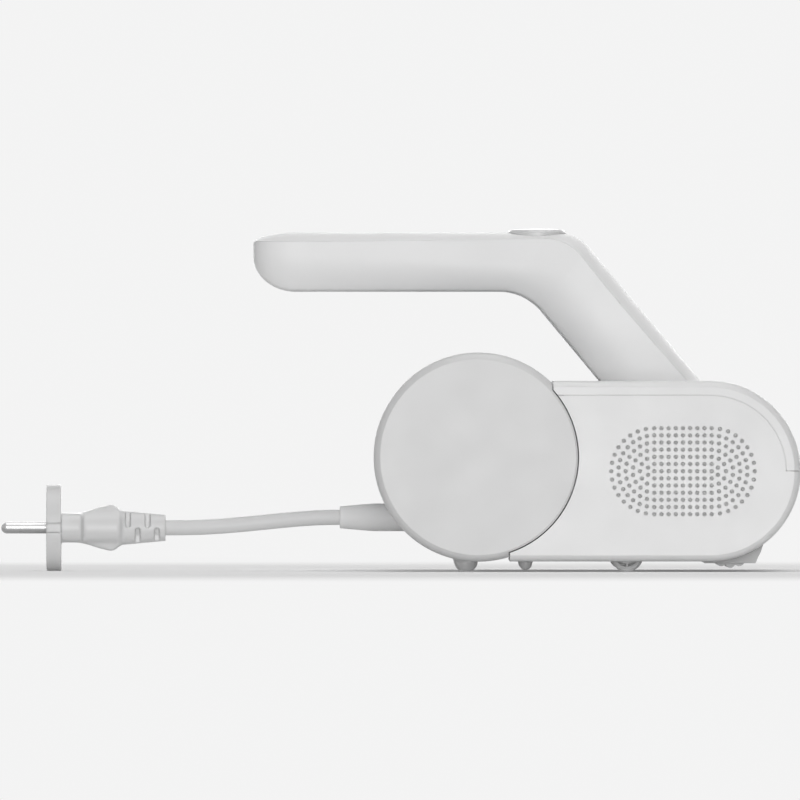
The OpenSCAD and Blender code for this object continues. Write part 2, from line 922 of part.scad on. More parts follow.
module power_button() {
    dome = 0.5;
    dome_r = (button_d * button_d / 4 + dome * dome) / (2 * dome);
    corner = 1;
    color(shade) {
        intersection() {
            translate([button_x, 0, button_base]) {
                cylinder(r = button_d / 2, h = button_top - button_base - corner - dome);
                translate([0, 0, button_top - button_base - corner - dome])
                    cylinder(r1 = button_d / 2, r2 = button_d / 2 - corner - dome, h = corner + dome);
            }
            translate([button_x, 0, button_top - dome_r])
                sphere(dome_r);
        }
        translate([button_x, 0, switch_z + 2.5])
            cylinder(r = 3, h = button_base - switch_z - 2.4);
    }
}

module switch_board() {
    color([0.2, 0.45, 0.3]) {
        box(button_x - 9, button_x + 9, -board_half, board_half, switch_z - 3.6, switch_z - 2);
        box(button_x - 3, button_x + 3, -3, 3, switch_z - 2.1, switch_z + 0.4);
        translate([button_x, 0, switch_z])
            cylinder(r = 1.6, h = 2.5 - button_travel - 0.1);
    }
}

module button_spring() {
    color(steel)
        coil_spring(button_x, 0, switch_z - 1.9, button_base - 0.1, 6, 0.4, 4);
}

// ---- Release button ---------------------------------------------------------------

module release_button() {
    cap_t = 3;
    color(shade) {
        box(release_x0, release_x1, -release_half, release_half, body_top - 0.2 - cap_t, body_top - 0.2);
        box(release_x0 + 0.4, release_x1 + 1, -release_half - 1, release_half + 1,
            roof_z - 0.3 - 1.4, roof_z - 0.3);
        box(release_x0 + 1.6, release_x0 + 4, -hook_half, hook_half, hook_z, roof_z - 1);
        box(hook_x, release_x0 + 3, -hook_half, hook_half, hook_z, hook_z + 2);
    }
}

module release_spring() {
    color(steel)
        coil_spring(release_spring_x, 0, shelf_z, roof_z - 1.8, 3, 0.4, 4);
}

// ---- Suction head --------------------------------------------------------------------

module chamber_inside() {
    translate([roller_x, roller_z])
        circle(chamber_r);
    rect(plenum_x0, plenum_x1, plenum_low, plenum_top);
}

module suction_mouth() {
    color(shade)
        difference() {
            along_y(-cheek_y, cheek_y)
                intersection() {
                    union() {
                        lip_outline();
                        rect(plenum_x0 - 1.2, plenum_x1 + 1.2, plenum_low - 1.2, plenum_top + 1.2);
                    }
                    rect(0, big, lip_z, big);
                }
            along_y(-mouth_half, mouth_half)
                chamber_inside();
            rod_y(roller_x, roller_z, bush_r, -big / 2, big / 2);
            box(plenum_x0 + duct_wall, plenum_x1 - duct_wall,
                suction_y0 + duct_wall, suction_y1 - duct_wall, plenum_top - 1, plenum_top + 3);
        }
}

module suction_duct() {
    x0 = plenum_x0;
    x1 = plenum_x1;
    z0 = plenum_top + 1.2;
    color(shade)
        difference() {
            union() {
                box(x0, x1, suction_y0, suction_y1, z0, suction_z1);
                box(cup_x + bay_r - 10, x1, suction_y0, suction_y1, suction_z0, suction_z1);
            }
            box(x0 + duct_wall, x1 - duct_wall, suction_y0 + duct_wall, suction_y1 - duct_wall,
                z0 - 1, suction_z1 - duct_wall);
            box(cup_x, x1 - duct_wall, suction_y0 + duct_wall, suction_y1 - duct_wall,
                suction_z0 + duct_wall, suction_z1 - duct_wall);
            rod_y(cup_x, cup_z, bay_out_r, -big / 2, big / 2);
        }
}

module clean_duct() {
    x1 = fan_x + 17;
    color(shade)
        difference() {
            box(cup_x + bay_r - 10, x1, clean_y0, -fan_half, clean_z0 - 7, clean_z1);
            box(cup_x, x1 - duct_wall, clean_y0 + duct_wall, -fan_half - duct_wall,
                clean_z0 + duct_wall - 7, clean_z1 - duct_wall);
            box(cup_x, fan_x - fan_eye_r - 5, clean_y0 - 1, -fan_half + 1, clean_z0 - 8, clean_z0);
            rod_y(fan_x, fan_z, fan_eye_r, -fan_half - 3, -fan_half + 1);
            rod_y(cup_x, cup_z, bay_out_r, -big / 2, big / 2);
        }
}

bush_r = 4;
shaft_r = 2;
bush_out = cheek_y + 0.4;

module roller_bushes() {
    color([0.75, 0.6, 0.35])
        both_sides()
            ring_y(roller_x, roller_z, bush_r - 0.02, shaft_r + run, mouth_half - 0.2, bush_out);
}

module brush_roller() {
    bead_r = 2.15;
    bead_at = roller_r - bead_r;
    color(shade)
        along_y(-roller_len / 2, roller_len / 2)
            translate([roller_x, roller_z])
                difference() {
                    union() {
                        circle(bead_at);
                        for (i = [0:lobes - 1])
                            rotate(i * 360 / lobes + 90)
                                translate([bead_at, 0])
                                    circle(bead_r);
                    }
                    circle(shaft_r);
                }
}

pulley_w = 6;
plate_t = 2;
plate_out = cheek_y + plate_t;
pulley_y1 = -plate_out - 1;
pulley_y0 = pulley_y1 - pulley_w;
belt_t = 0.9;
belt_gap = 0.15;

module roller_shaft() {
    color(steel)
        rod_y(roller_x, roller_z, shaft_r, pulley_y0 - 1, bush_out + 1.5);
}

// A flanged pulley along Y
module pulley(x, z, r, bore) {
    flange = 0.8;
    difference() {
        union() {
            rod_y(x, z, r, pulley_y0, pulley_y1);
            rod_y(x, z, r + 0.6, pulley_y0, pulley_y0 + flange);
            rod_y(x, z, r + 0.6, pulley_y1 - flange, pulley_y1);
        }
        rod_y(x, z, bore, pulley_y0 - 1, pulley_y1 + 1);
    }
}

module roller_pulley() {
    color(dark)
        pulley(roller_x, roller_z, big_pulley_r, shaft_r);
}

module motor_pulley() {
    color(steel) {
        pulley(drive_x, drive_z, small_pulley_r, 1);
        rod_y(drive_x, drive_z, 1, pulley_y0 - 1, -cheek_y + 4);
    }
}

// Side view of a belt round both pulleys
module belt_outline(grow) {
    hull() {
        translate([roller_x, roller_z])
            circle(big_pulley_r + grow, $fn = 48);
        translate([drive_x, drive_z])
            circle(small_pulley_r + grow, $fn = 48);
    }
}

module drive_belt() {
    color(dark)
        along_y(pulley_y0 + 1.2, pulley_y1 - 1.2)
            difference() {
                belt_outline(belt_gap + belt_t);
                belt_outline(belt_gap);
            }
}

module drive_plate() {
    color(shade)
        difference() {
            along_y(-plate_out, -cheek_y)
                polygon([
                    [roller_x - 7.4, roller_z + 0.4],
                    [roller_x - 5.4, drive_z + 6],
                    [drive_x - 2, drive_z + drive_r],
                    [drive_x + drive_r, drive_z],
                    [roller_x + 5.1, roller_z + 0.4]
                ]);
            rod_y(roller_x, roller_z, bush_r + 0.2, -plate_out - 1, -cheek_y + 1);
            rod_y(drive_x, drive_z, 3, -plate_out - 1, -cheek_y + 1);
        }
}

drive_len = 35;

module roller_motor() {
    drive_end = -cheek_y + 1 + drive_len;
    color(steel)
        difference() {
            union() {
                rod_y(drive_x, drive_z, drive_r, -cheek_y + 1, drive_end);
                rod_y(drive_x, drive_z, 2.8, -cheek_y - 1, -cheek_y + 2);
                rod_y(drive_x, drive_z, 4, drive_end - 1, drive_end + 2);
                for (s = [-1, 1])
                    translate([s * (drive_r - 4.5), 0, 0])
                        rod_y(drive_x, drive_z, 1.6, -cheek_y, -cheek_y + 1.5);
            }
            rod_y(drive_x, drive_z, 1 + run, -cheek_y - 2, -cheek_y + 5);
        }
}

// ---- Wheels -------------------------------------------------------------------------

tyre_t = 2.2;

module wheel_hub(side) {
    hub_r = wheel_r - tyre_t;
    y0 = side * wheel_y - wheel_half;
    y1 = side * wheel_y + wheel_half;
    color(shade)
        difference() {
            rod_y(wheel_x, wheel_r, hub_r, y0, y1);
            rod_y(wheel_x, wheel_r, axle_r + run, y0 - 1, y1 + 1);
            for (end = [y0 - touch, y1 - 2 + touch])
                difference() {
                    ring_y(wheel_x, wheel_r, hub_r - 0.9, axle_r + 1.2, end, end + 2);
                    for (a = [0:60:120])
                        translate([wheel_x, end - 1, wheel_r])
                            rotate([0, a, 0])
                                translate([-hub_r, 0, -0.45])
                                    cube([2 * hub_r, 4, 0.9]);
                }
        }
}

module wheel_tyre(side) {
    y0 = side * wheel_y - wheel_half;
    color(dark)
        translate([wheel_x, y0 + wheel_w, wheel_r])
            rotate([90, 0, 0])
                rotate_extrude()
                    polygon([
                        [wheel_r - tyre_t, 0],
                        [wheel_r - 0.7, 0],
                        [wheel_r, 0.9],
                        [wheel_r, wheel_w - 0.9],
                        [wheel_r - 0.7, wheel_w],
                        [wheel_r - tyre_t, wheel_w]
                    ]);
}

module wheel_hub_right() {
    wheel_hub(-1);
}

module wheel_hub_left() {
    wheel_hub(1);
}

module wheel_tyre_right() {
    wheel_tyre(-1);
}

module wheel_tyre_left() {
    wheel_tyre(1);
}

module wheel_axles() {
    color(steel)
        both_sides()
            rod_y(wheel_x, wheel_r, axle_r, wheel_y - axle_half, wheel_y + axle_half);
}

// ---- Fan and motor ----------------------------------------------------------------------

module fan_casing() {
    color(shade)
        difference() {
            rod_y(fan_x, fan_z, fan_r, -fan_half, fan_half);
            rod_y(fan_x, fan_z, fan_r - duct_wall, -fan_half + duct_wall, fan_half - duct_wall);
            rod_y(fan_x, fan_z, fan_eye_r, -fan_half - 1, 0);
            rod_y(fan_x, fan_z, 8, 0, fan_half + 1);
            for (a = [0:45:315])
                translate([fan_x, 0, fan_z])
                    rotate([0, a, 0])
                        box(motor_r + 0.8, fan_r - 2.4, fan_half - 3, fan_half + 1, -5, 5);
        }
}

module impeller() {
    tip_r = fan_r - duct_wall - 1.6;
    blade_n = 9;
    blade_arc = 22;
    y0 = fan_half - 17;
    y1 = fan_half - 5;
    color(steel)
        difference() {
            union() {
                rod_y(fan_x, fan_z, tip_r, y1, y1 + 1.4);
                rod_y(fan_x, fan_z, 5, y1 - 11, y1 + 1.4);
                ring_y(fan_x, fan_z, tip_r, fan_eye_r - 0.5, y0 - 1.2, y0);
                along_y(y0 - 0.1, y1 + 0.1)
                    translate([fan_x, fan_z])
                        for (i = [0:blade_n - 1])
                            rotate(i * 360 / blade_n)
                                intersection() {
                                    translate([blade_arc * 0.62, -blade_arc * 0.78])
                                        difference() {
                                            circle(blade_arc);
                                            circle(blade_arc - 1);
                                        }
                                    difference() {
                                        circle(tip_r - 0.6);
                                        circle(7);
                                    }
                                    rect(0, tip_r, 0, tip_r);
                                }
            }
            rod_y(fan_x, fan_z, shaft_r, -fan_half, fan_half);
        }
}

module motor_shaft() {
    color(steel)
        rod_y(fan_x, fan_z, shaft_r, fan_half - 17, fan_half + motor_len - 4);
}

module fan_motor() {
    y0 = fan_half;
    y1 = fan_half + motor_len;
    color(steel)
        difference() {
            union() {
                rod_y(fan_x, fan_z, motor_r, y0, y1 - 4);
                rod_y(fan_x, fan_z, 7, y1 - 5, y1);
                rod_y(fan_x, fan_z, 7, y0 - 1.6, y0 + 1);
            }
            rod_y(fan_x, fan_z, shaft_r + run, y0 - 3, y1 - 3.5);
            for (a = [0:60:300])
                translate([fan_x, 0, fan_z])
                    rotate([0, a, 0])
                        box(motor_r - 2, motor_r + 1, y0 + 12, y1 - 12, -3, 3);
        }
}

mount_w = 6;
mount_t = 3.4;
mount_spots = [fan_half + 3, fan_half + motor_len - 11];

module motor_mounts() {
    color(dark)
        for (y = mount_spots)
            ring_y(fan_x, fan_z, motor_r + mount_t, motor_r, y, y + mount_w);
}

module motor_cradle() {
    cradle_r = motor_r + mount_t + 0.1;
    leg_x0 = fan_x - motor_r + 5;
    leg_x1 = lamp_x - window_w / 2 - ledge - 1;
    color(shade)
        for (y = mount_spots)
            along_y(y, y + mount_w)
                difference() {
                    union() {
                        intersection() {
                            translate([fan_x, fan_z])
                                circle(cradle_r + 2.2);
                            rect(0, big, 0, fan_z);
                        }
                        rect(leg_x0, leg_x1, floor_z, fan_z - 14);
                    }
                    translate([fan_x, fan_z])
                        circle(cradle_r);
                }
}

// ---- Lamp ----------------------------------------------------------------------------

module lamp_tube() {
    color([0.75, 0.75, 0.95]) {
        rod_y(lamp_x, lamp_z, lamp_r, -window_half + 1, window_half - 1);
        both_sides()
            rod_y(lamp_x, lamp_z, lamp_r - 0.3, window_half - 1, window_half + 3);
    }
}

module lamp_holders() {
    color(dark)
        both_sides()
            difference() {
                box(lamp_x - 5.5, lamp_x + 5.5, window_half - 2, window_half + 4, floor_z, lamp_z + lamp_r + 1);
                rod_y(lamp_x, lamp_z, lamp_r + 0.1, window_half - 3, window_half - 0.9);
                rod_y(lamp_x, lamp_z, lamp_r - 0.2, window_half - 1, window_half + 3.1);
            }
}

module lamp_reflector() {
    r = lamp_r + 1.7;
    color(steel)
        along_y(-window_half + 2.2, window_half - 2.2)
            intersection() {
                difference() {
                    union() {
                        translate([lamp_x, lamp_z])
                            circle(r + 0.5);
                        rect(lamp_x - r - 0.5, lamp_x + r + 0.5, floor_z, lamp_z);
                    }
                    translate([lamp_x, lamp_z])
                        circle(r);
                    rect(lamp_x - r, lamp_x + r, floor_z - 1, lamp_z);
                }
                rect(0, big, floor_z, big);
            }
}

module lamp_window() {
    color([0.8, 0.85, 0.9, 0.5])
        box(lamp_x - window_w / 2 - ledge + 0.1, lamp_x + window_w / 2 + ledge - 0.1,
            -window_half - ledge + 0.1, window_half + ledge - 0.1, floor_z - window_t, floor_z);
}

// ---- Electrics -----------------------------------------------------------------------

module circuit_board() {
    color([0.2, 0.45, 0.3])
        box(board_x0, board_x1, board_y0, board_y1, board_z, board_z + board_t);
    color(dark) {
        translate([board_x0, board_y0, board_z]) {
            translate([12, 6, -coil_h])
                cube([coil_w, coil_l, coil_h + touch]);
            translate([12 + coil_w / 2, coil_l + 18, -can_h])
                cylinder(r = can_r, h = can_h + touch);
            translate([16 + coil_w, coil_l + 28, -small_can_h])
                cylinder(r = small_can_r, h = small_can_h + touch);
            translate([6, coil_l + 24, -relay_h])
                cube([relay_w, relay_l, relay_h + touch]);
        }
    }
}

plunger_travel = 2.4;
plunger_low = 1;
switch_low = floor_z + 12.2;
switch_h = 6;
switch_half = 7.9;

module contact_plunger() {
    color(shade)
        translate([plunger_x, plunger_y, 0]) {
            translate([0, 0, plunger_low + 1.6])
                cylinder(r = plunger_r, h = floor_z - plunger_low);
            translate([0, 0, plunger_low + 1.6])
                sphere(1.6);
            translate([0, 0, plunger_low + 1.6])
                rotate([180, 0, 0])
                    cylinder(r1 = plunger_r, r2 = plunger_r - 1.4, h = 1.4);
            translate([0, 0, floor_z + 0.3])
                cylinder(r = plunger_r + 1.6, h = 1.6);
            translate([0, 0, floor_z + 1])
                cylinder(r = 2.4, h = switch_low - floor_z - 1 - plunger_travel - 0.3);
        }
}

module plunger_spring() {
    color(steel)
        coil_spring(plunger_x, plunger_y, floor_z + 2, switch_low - 0.1, plunger_r, 0.4, 4);
}

module contact_switch() {
    color(dark)
        translate([0, plunger_y, 0])
            box(plunger_x - 2.8, plunger_x + 4, -switch_half, switch_half, switch_low, switch_low + switch_h);
}

module cord_boot() {
    flare_end = -64;
    collar_at = collar_x + 0.1 - boot_end;
    color(shade)
        difference() {
            translate([boot_end, 0, cord_z])
                rotate([0, 90, 0])
                    rotate_extrude()
                        polygon([
                            [0, 0],
                            [4.4, 0],
                            [4.65, 0.3],
                            [boot_r - 0.3, flare_end - boot_end - 4],
                            [boot_r, flare_end - boot_end],
                            [boot_r, collar_at],
                            [collar_r, collar_at],
                            [collar_r, collar_at + 2.5],
                            [3.5, collar_at + 2.5],
                            [3.5, collar_at + 10.5],
                            [0, collar_at + 10.5]
                        ]);
            // The collar is flat on top, under the base's upper wall
            box(collar_x - 1, collar_x + 12, -20, 20, cup_floor - cup_fit - wall - 0.1, big);
        }
}

module cord_clamp() {
    floor_top = cup_floor - cup_fit;
    color(dark)
        difference() {
            box(collar_x + 5, collar_x + 9, -8, 8, cord_z - 5.4, floor_top - wall);
            translate([collar_x + 4, 0, cord_z])
                rotate([0, 90, 0])
                    cylinder(r = 3.55, h = 6);
        }
}

// ---- Fasteners --------------------------------------------------------------------------

module screw_up(x, y, z0, length) {
    translate([x, y, z0])
        cylinder(r = screw_head_r, h = 1.6);
    translate([x, y, z0 + 1])
        cylinder(r = screw_r - 0.05, h = length);
}

module handle_screws() {
    color(steel)
        for (x = handle_screw_x)
            screw_up(x, 0, roof_z - 1.6, 7);
}

module casing_screws() {
    color(steel)
        both_sides()
            for (p = boss_spots)
                translate([p[0], -inner_half + 7.2, p[1]])
                    rotate([90, 0, 0]) {
                        translate([0, 0, -1.4])
                            cylinder(r = 2.4, h = 1.4);
                        cylinder(r = 1, h = 6);
                    }
}

// ---- Dust cup ---------------------------------------------------------------------------

module drum_above_floor(r, inset) {
    intersection() {
        drum_outline(r, inset);
        rect(-big, big, cup_floor + inset, big);
    }
}

// Shallow catch in the cup's front wall, in front of the release hook, grown outwards by t
module catch_pocket(t) {
    box(hook_x - 4.8 - t, 40, -hook_half - 1 - t, hook_half + 1 + t, hook_z - 3.2 - t, hook_z + 3 + t);
}

module cup_barrel() {
    color(drum_white, 0.5)
        difference() {
            union() {
                difference() {
                    along_y(-barrel_half, barrel_half)
                        drum_above_floor(barrel_r, 0);
                    along_y(-barrel_half + cup_wall, partition_y)
                        drum_above_floor(barrel_r, cup_wall);
                    along_y(partition_y + 2, barrel_half + 1)
                        drum_above_floor(barrel_r, cup_wall);
                }
                intersection() {
                    catch_pocket(cup_wall);
                    along_y(-hook_half - 10, hook_half + 10)
                        drum_above_floor(barrel_r, 0.3);
                }
            }
            rod_y(cup_x, filter_z, 11, partition_y - 1, partition_y + 3);
            port_frame(0);
            catch_pocket(0);
        }
}

// The rim's rounded band: a crease on the disc's face, smooth on its outside
module rim_corner() {
    rho = band_arc(rim_band, rim_depth);
    intersection() {
        translate([-rho, -rim_depth])
            circle(rho);
        translate([-rim_band, -rim_depth])
            square([rim_band, rim_depth]);
    }
}

// One end disc of the drum, hollow towards the middle
module end_disc() {
    rim = 2.2;
    difference() {
        intersection() {
            union() {
                along_y(-disc_out + rim_depth, -disc_in)
                    drum_outline(cup_r, 0);
                translate([cup_x, -disc_out + rim_depth, cup_z])
                    rotate([90, 0, 0])
                        rotate_extrude() {
                            square([cup_r - rim_band, rim_depth]);
                            translate([cup_r, rim_depth])
                                rim_corner();
                        }
            }
            along_y(-disc_out - 1, 0)
                drum_outline(cup_r, 0);
        }
        along_y(-disc_out + rim, 0)
            drum_outline(cup_r, rim + 0.8);
    }
    for (a = [0:60:120])
        along_y(-disc_out + rim - touch, -disc_in - 2)
            intersection() {
                translate([cup_x, cup_z])
                    rotate(a)
                        square([2 * cup_r, 1.6], center = true);
                drum_outline(cup_r, rim);
            }
}

module cup_disc() {
    color(drum_white)
        end_disc();
}

module cap_disc() {
    color(drum_white)
        mirror([0, 1, 0])
            end_disc();
}

plug_gap = 0.3;
plug_depth = 6;

module cap_plug() {
    color(shade)
        difference() {
            union() {
                along_y(barrel_half - plug_depth, barrel_half)
                    drum_above_floor(barrel_r, cup_wall + plug_gap);
                along_y(barrel_half - touch, barrel_half + 2)
                    drum_above_floor(barrel_r, cup_wall + plug_gap + 3);
            }
            along_y(barrel_half - plug_depth + 2, barrel_half - plug_depth + 4)
                difference() {
                    drum_above_floor(barrel_r, cup_wall);
                    drum_above_floor(barrel_r, cup_wall + plug_gap + 1.2);
                }
            along_y(barrel_half - plug_depth + 1.8, barrel_half + 3)
                translate([cup_x, filter_z])
                    circle(12);
        }
}

module cap_seal() {
    color(dark)
        along_y(barrel_half - plug_depth + 2.1, barrel_half - plug_depth + 3.9)
            difference() {
                drum_above_floor(barrel_r, cup_wall + 0.1);
                drum_above_floor(barrel_r, cup_wall + plug_gap + 1.2);
            }
}

filter_end = barrel_half - plug_depth;
filter_start = partition_y + 2 + 0.3;
frame_t = 3;

module filter_frame() {
    color(shade) {
        ring_y(cup_x, filter_z, filter_r + 0.8, 11, filter_start, filter_start + frame_t);
        ring_y(cup_x, filter_z, filter_r + 0.8, 11, filter_end - frame_t, filter_end);
        for (a = [30:60:330])
            along_y(filter_start + frame_t - touch, filter_end - frame_t + touch)
                translate([cup_x, filter_z])
                    rotate(a)
                        translate([12.5, 0])
                            square([1.4, 2.4], center = true);
    }
}

module filter_pleats() {
    inner_r = filter_r - 5.6;
    color([0.95, 0.95, 0.92])
        along_y(filter_start + frame_t, filter_end - frame_t)
            translate([cup_x, filter_z])
                difference() {
                    polygon([for (i = [0:2 * pleats - 1])
                        let (a = 180 * i / pleats, r = i % 2 == 0 ? filter_r : inner_r + 0.6)
                        [r * cos(a), r * sin(a)]]);
                    circle(inner_r - 0.9);
                }
}

// ---- Lead and plug ------------------------------------------------------------------------

// Route of the lead, from the boot to the plug, as [x, z]
cord_route = [
    [-78.4, 22.55], [-83, 22.5], [-88, 22.35], [-93, 22.05], [-98, 21.65], [-103, 21.2],
    [-108, 20.7], [-113, 20.2], [-118, 19.7], [-123, 19.25], [-128, 18.85], [-133, 18.55],
    [-138, 18.3], [-143, 18.2], [-148, 18.15], [-151.8, 18.15]
];
cord_sides = 10;
boot_end = cord_route[0][0];
plug_end_x = cord_route[len(cord_route) - 1][0];
plug_face_x = plug_end_x - 50.2;

module power_cord() {
    last = len(cord_route) - 1;
    color(white)
        sweep([for (i = [0:last])
            let (a = cord_route[max(i - 1, 0)], b = cord_route[min(i + 1, last)],
                dir = i == 0 || i == last ? [-1, 0] : b - a)
            tube_ring(cord_route[i], dir, cord_d / 2, cord_sides)]);
}

flange_t = 6.3;

// Side view of the finger grips: ramps with shallow steps, above and below the neck
module grip_wings() {
    polygon([
        [0, -6.1], [8.7, -6.1], [11.2, -7.3], [11.5, -7], [14, -8.2], [14.3, -7.9],
        [16.8, -9.1], [17.1, -8.8], [20, -9.75], [22.1, -9.75], [25.1, -7.2],
        [25.1, 7.2], [22.1, 9.75], [20, 9.75], [17.1, 8.8], [16.8, 9.1], [14.3, 7.9],
        [14, 8.2], [11.5, 7], [11.2, 7.3], [8.7, 6.1], [0, 6.1]
    ]);
}

// Slot in the side of the plug's boot: round at the middle, bridged at its outer end
module boot_slot(x) {
    slot_w = 2.3;
    for (s = [-1, 1])
        along_y(s * 6.2 - 4.2, s * 6.2 + 4.2) {
            translate([x + slot_w / 2, slot_w / 2])
                circle(slot_w / 2);
            rect(x, x + slot_w, slot_w / 2, 10);
        }
}

module plug_body() {
    boot_x = 25;
    boot_r0 = 7.35;
    boot_r1 = 5.55;
    boot_core = 3.6;
    color(white)
        translate([plug_face_x + flange_t, 0, plug_r]) {
            // Flange with the two guide grooves
            difference() {
                translate([-flange_t, 0, 0])
                    rotate([0, 90, 0])
                        cylinder(r = plug_r, h = flange_t);
                both_sides()
                    box(-flange_t - 1, 1, plug_r - 2.4, plug_r + 1, -2.1, 2.1);
            }
            // Neck that holds both pins
            translate([-1, 0, 0])
                rotate([90, 0, 90])
                    linear_extrude(10)
                        round_rect(27, 12.4, 6);
            // Grip behind the neck, and its narrow wings
            translate([8, 0, 0])
                rotate([90, 0, 90])
                    linear_extrude(boot_x - 8 + 0.1)
                        round_rect(19, 13.2, 6.5);
            along_y(-4.5, 4.5)
                grip_wings();
            // Tapered boot with two slots above and two below its middle on each side
            difference() {
                translate([boot_x - 0.5, 0, 0])
                    rotate([0, 90, 0])
                        cylinder(r1 = boot_r0, r2 = boot_r1, h = plug_end_x - plug_face_x - flange_t - boot_x + 0.5);
                difference() {
                    union() {
                        for (x = [26.9, 35.2])
                            boot_slot(x);
                        for (x = [31, 39.1])
                            mirror([0, 0, 1])
                                boot_slot(x);
                    }
                    translate([boot_x, 0, 0])
                        rotate([0, 90, 0])
                            cylinder(r = boot_core, h = 20);
                }
            }
        }
}

module plug_pins() {
    color(steel)
        for (s = [-1, 1])
            translate([plug_face_x, s * pin_pitch / 2, plug_r])
                rotate([0, -90, 0]) {
                    cylinder(d = pin_d, h = pin_len - pin_d / 2);
                    translate([0, 0, pin_len - pin_d / 2])
                        sphere(d = pin_d);
                }
}

top_cover();
side_panel_right();
side_panel_left();
base_plate();
bay_wall();
rear_base();
rear_feet();
handle_shell();
handle_cover();
switch_board();
suction_mouth();
suction_duct();
clean_duct();
port_seals();
fan_casing();
fan_motor();
motor_mounts();
motor_cradle();
drive_plate();
roller_motor();
roller_bushes();
drive_belt();
wheel_axles();
lamp_tube();
lamp_holders();
lamp_reflector();
lamp_window();
circuit_board();
contact_switch();
cord_boot();
cord_clamp();
handle_screws();
casing_screws();
wheel_hub_right();
wheel_tyre_right();
wheel_hub_left();
wheel_tyre_left();
brush_roller();
roller_shaft();
roller_pulley();
motor_pulley();
impeller();
motor_shaft();
power_button();
button_spring();
release_button();
release_spring();
contact_plunger();
plunger_spring();
cup_barrel();
cup_disc();
cap_disc();
cap_plug();
cap_seal();
filter_frame();
filter_pleats();
power_cord();
plug_body();
plug_pins();
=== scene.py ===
# %% [markdown]
# # Dressing a handheld mattress vacuum
# The machine is already built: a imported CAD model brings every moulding, shaft and spring at its real
# size, with its joints. This lesson gives it its looks. Some pieces only need a better finish, some are
# made again in Blender, because a loft or a pleat is smoother here. Everything is in metres.

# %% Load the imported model
import math

import bmesh
import bpy
from mathutils import Matrix, Vector


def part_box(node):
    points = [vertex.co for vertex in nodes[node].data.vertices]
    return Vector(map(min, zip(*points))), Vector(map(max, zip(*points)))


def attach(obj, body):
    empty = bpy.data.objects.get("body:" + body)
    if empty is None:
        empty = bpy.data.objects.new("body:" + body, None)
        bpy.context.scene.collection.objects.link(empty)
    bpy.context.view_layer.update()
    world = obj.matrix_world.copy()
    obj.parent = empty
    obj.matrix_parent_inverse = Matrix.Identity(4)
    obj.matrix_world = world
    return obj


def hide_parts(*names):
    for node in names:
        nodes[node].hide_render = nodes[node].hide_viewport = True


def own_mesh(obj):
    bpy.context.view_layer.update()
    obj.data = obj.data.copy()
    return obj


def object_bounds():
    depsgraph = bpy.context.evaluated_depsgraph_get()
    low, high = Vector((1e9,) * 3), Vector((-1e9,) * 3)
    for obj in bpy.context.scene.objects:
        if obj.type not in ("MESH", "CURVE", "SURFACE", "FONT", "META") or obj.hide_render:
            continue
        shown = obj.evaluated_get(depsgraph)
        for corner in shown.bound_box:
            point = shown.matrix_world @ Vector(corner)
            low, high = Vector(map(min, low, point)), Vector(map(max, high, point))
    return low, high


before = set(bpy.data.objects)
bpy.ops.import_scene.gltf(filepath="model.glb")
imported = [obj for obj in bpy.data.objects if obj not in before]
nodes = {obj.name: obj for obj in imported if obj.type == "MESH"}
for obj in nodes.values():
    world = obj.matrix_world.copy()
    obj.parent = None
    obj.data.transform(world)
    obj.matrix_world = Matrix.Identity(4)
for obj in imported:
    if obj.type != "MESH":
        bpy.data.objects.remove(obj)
cad_box = [list(corner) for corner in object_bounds()]
MM = 0.001
collection = bpy.context.scene.collection
print("nodes:", len(nodes), "box:", [[round(v, 4) for v in c] for c in cad_box])

# %% [markdown]
# ## The camera
# The machine is shown square from its side, almost without perspective. A real lens of 1500 mm far away
# gives that look, and it still frames the whole machine when the view is turned. The frame is 336 mm
# wide halfway between the side panel and the machine's middle.

# %% Set up the camera
LENS, SENSOR = 1500, 36
FRAME_WIDTH = 0.336
FRAME_X, FRAME_Z = -0.053, 0.072
focus_y = cad_box[0][1] / 2
camera_data = bpy.data.cameras.new("side_view")
camera_data.lens = LENS
camera_data.sensor_width = SENSOR
camera_data.clip_start = 1
camera_data.clip_end = 60
camera = bpy.data.objects.new("side_view", camera_data)
camera.location = (FRAME_X, focus_y - FRAME_WIDTH * LENS / SENSOR, FRAME_Z)
camera.rotation_euler = (math.radians(90), 0, 0)
collection.objects.link(camera)
bpy.context.scene.camera = camera
print("camera at", [round(v, 3) for v in camera.location])

# %% [markdown]
# ## The mains lead
# The lead is a short length of round PVC flex between the machine's boot and the moulded plug. It could be
# a hand-made tube, but a curve keeps its real thickness along any route, so a curve it is: the points
# leave the boot level, sink under their own weight and come into the plug level again. The sheath is a
# hair thinner than its solid, so it never comes through the boot's mouth.

# %% Lay the lead
LEAD_POINTS = [
    (-78.4, 22.55), (-83, 22.5), (-88, 22.35), (-93, 22.05), (-98, 21.65), (-103, 21.2),
    (-108, 20.7), (-113, 20.2), (-118, 19.7), (-123, 19.25), (-128, 18.85), (-133, 18.55),
    (-138, 18.3), (-143, 18.2), (-148, 18.15), (-151.8, 18.15),
]
LEAD_DIAMETER = 0.0065
SHEATH_GAP = 0.00004


def lay_curve(name, points, radius):
    """A round cord along points, each (x, y, z) in metres."""
    data = bpy.data.curves.new(name, "CURVE")
    data.dimensions = "3D"
    data.bevel_depth = 1
    data.bevel_resolution = 6
    data.use_fill_caps = True
    spline = data.splines.new("POLY")
    spline.points.add(len(points) - 1)
    for spot, point in zip(spline.points, points):
        spot.co = (*point, 1)
        spot.radius = radius
    spline.use_smooth = True
    cord = bpy.data.objects.new(name, data)
    collection.objects.link(cord)
    return cord


lead_route = [(x * MM, 0, z * MM) for x, z in LEAD_POINTS]
lead = lay_curve("lead", lead_route, LEAD_DIAMETER / 2 - SHEATH_GAP)
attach(lead, "housing")
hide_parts("power_cord")

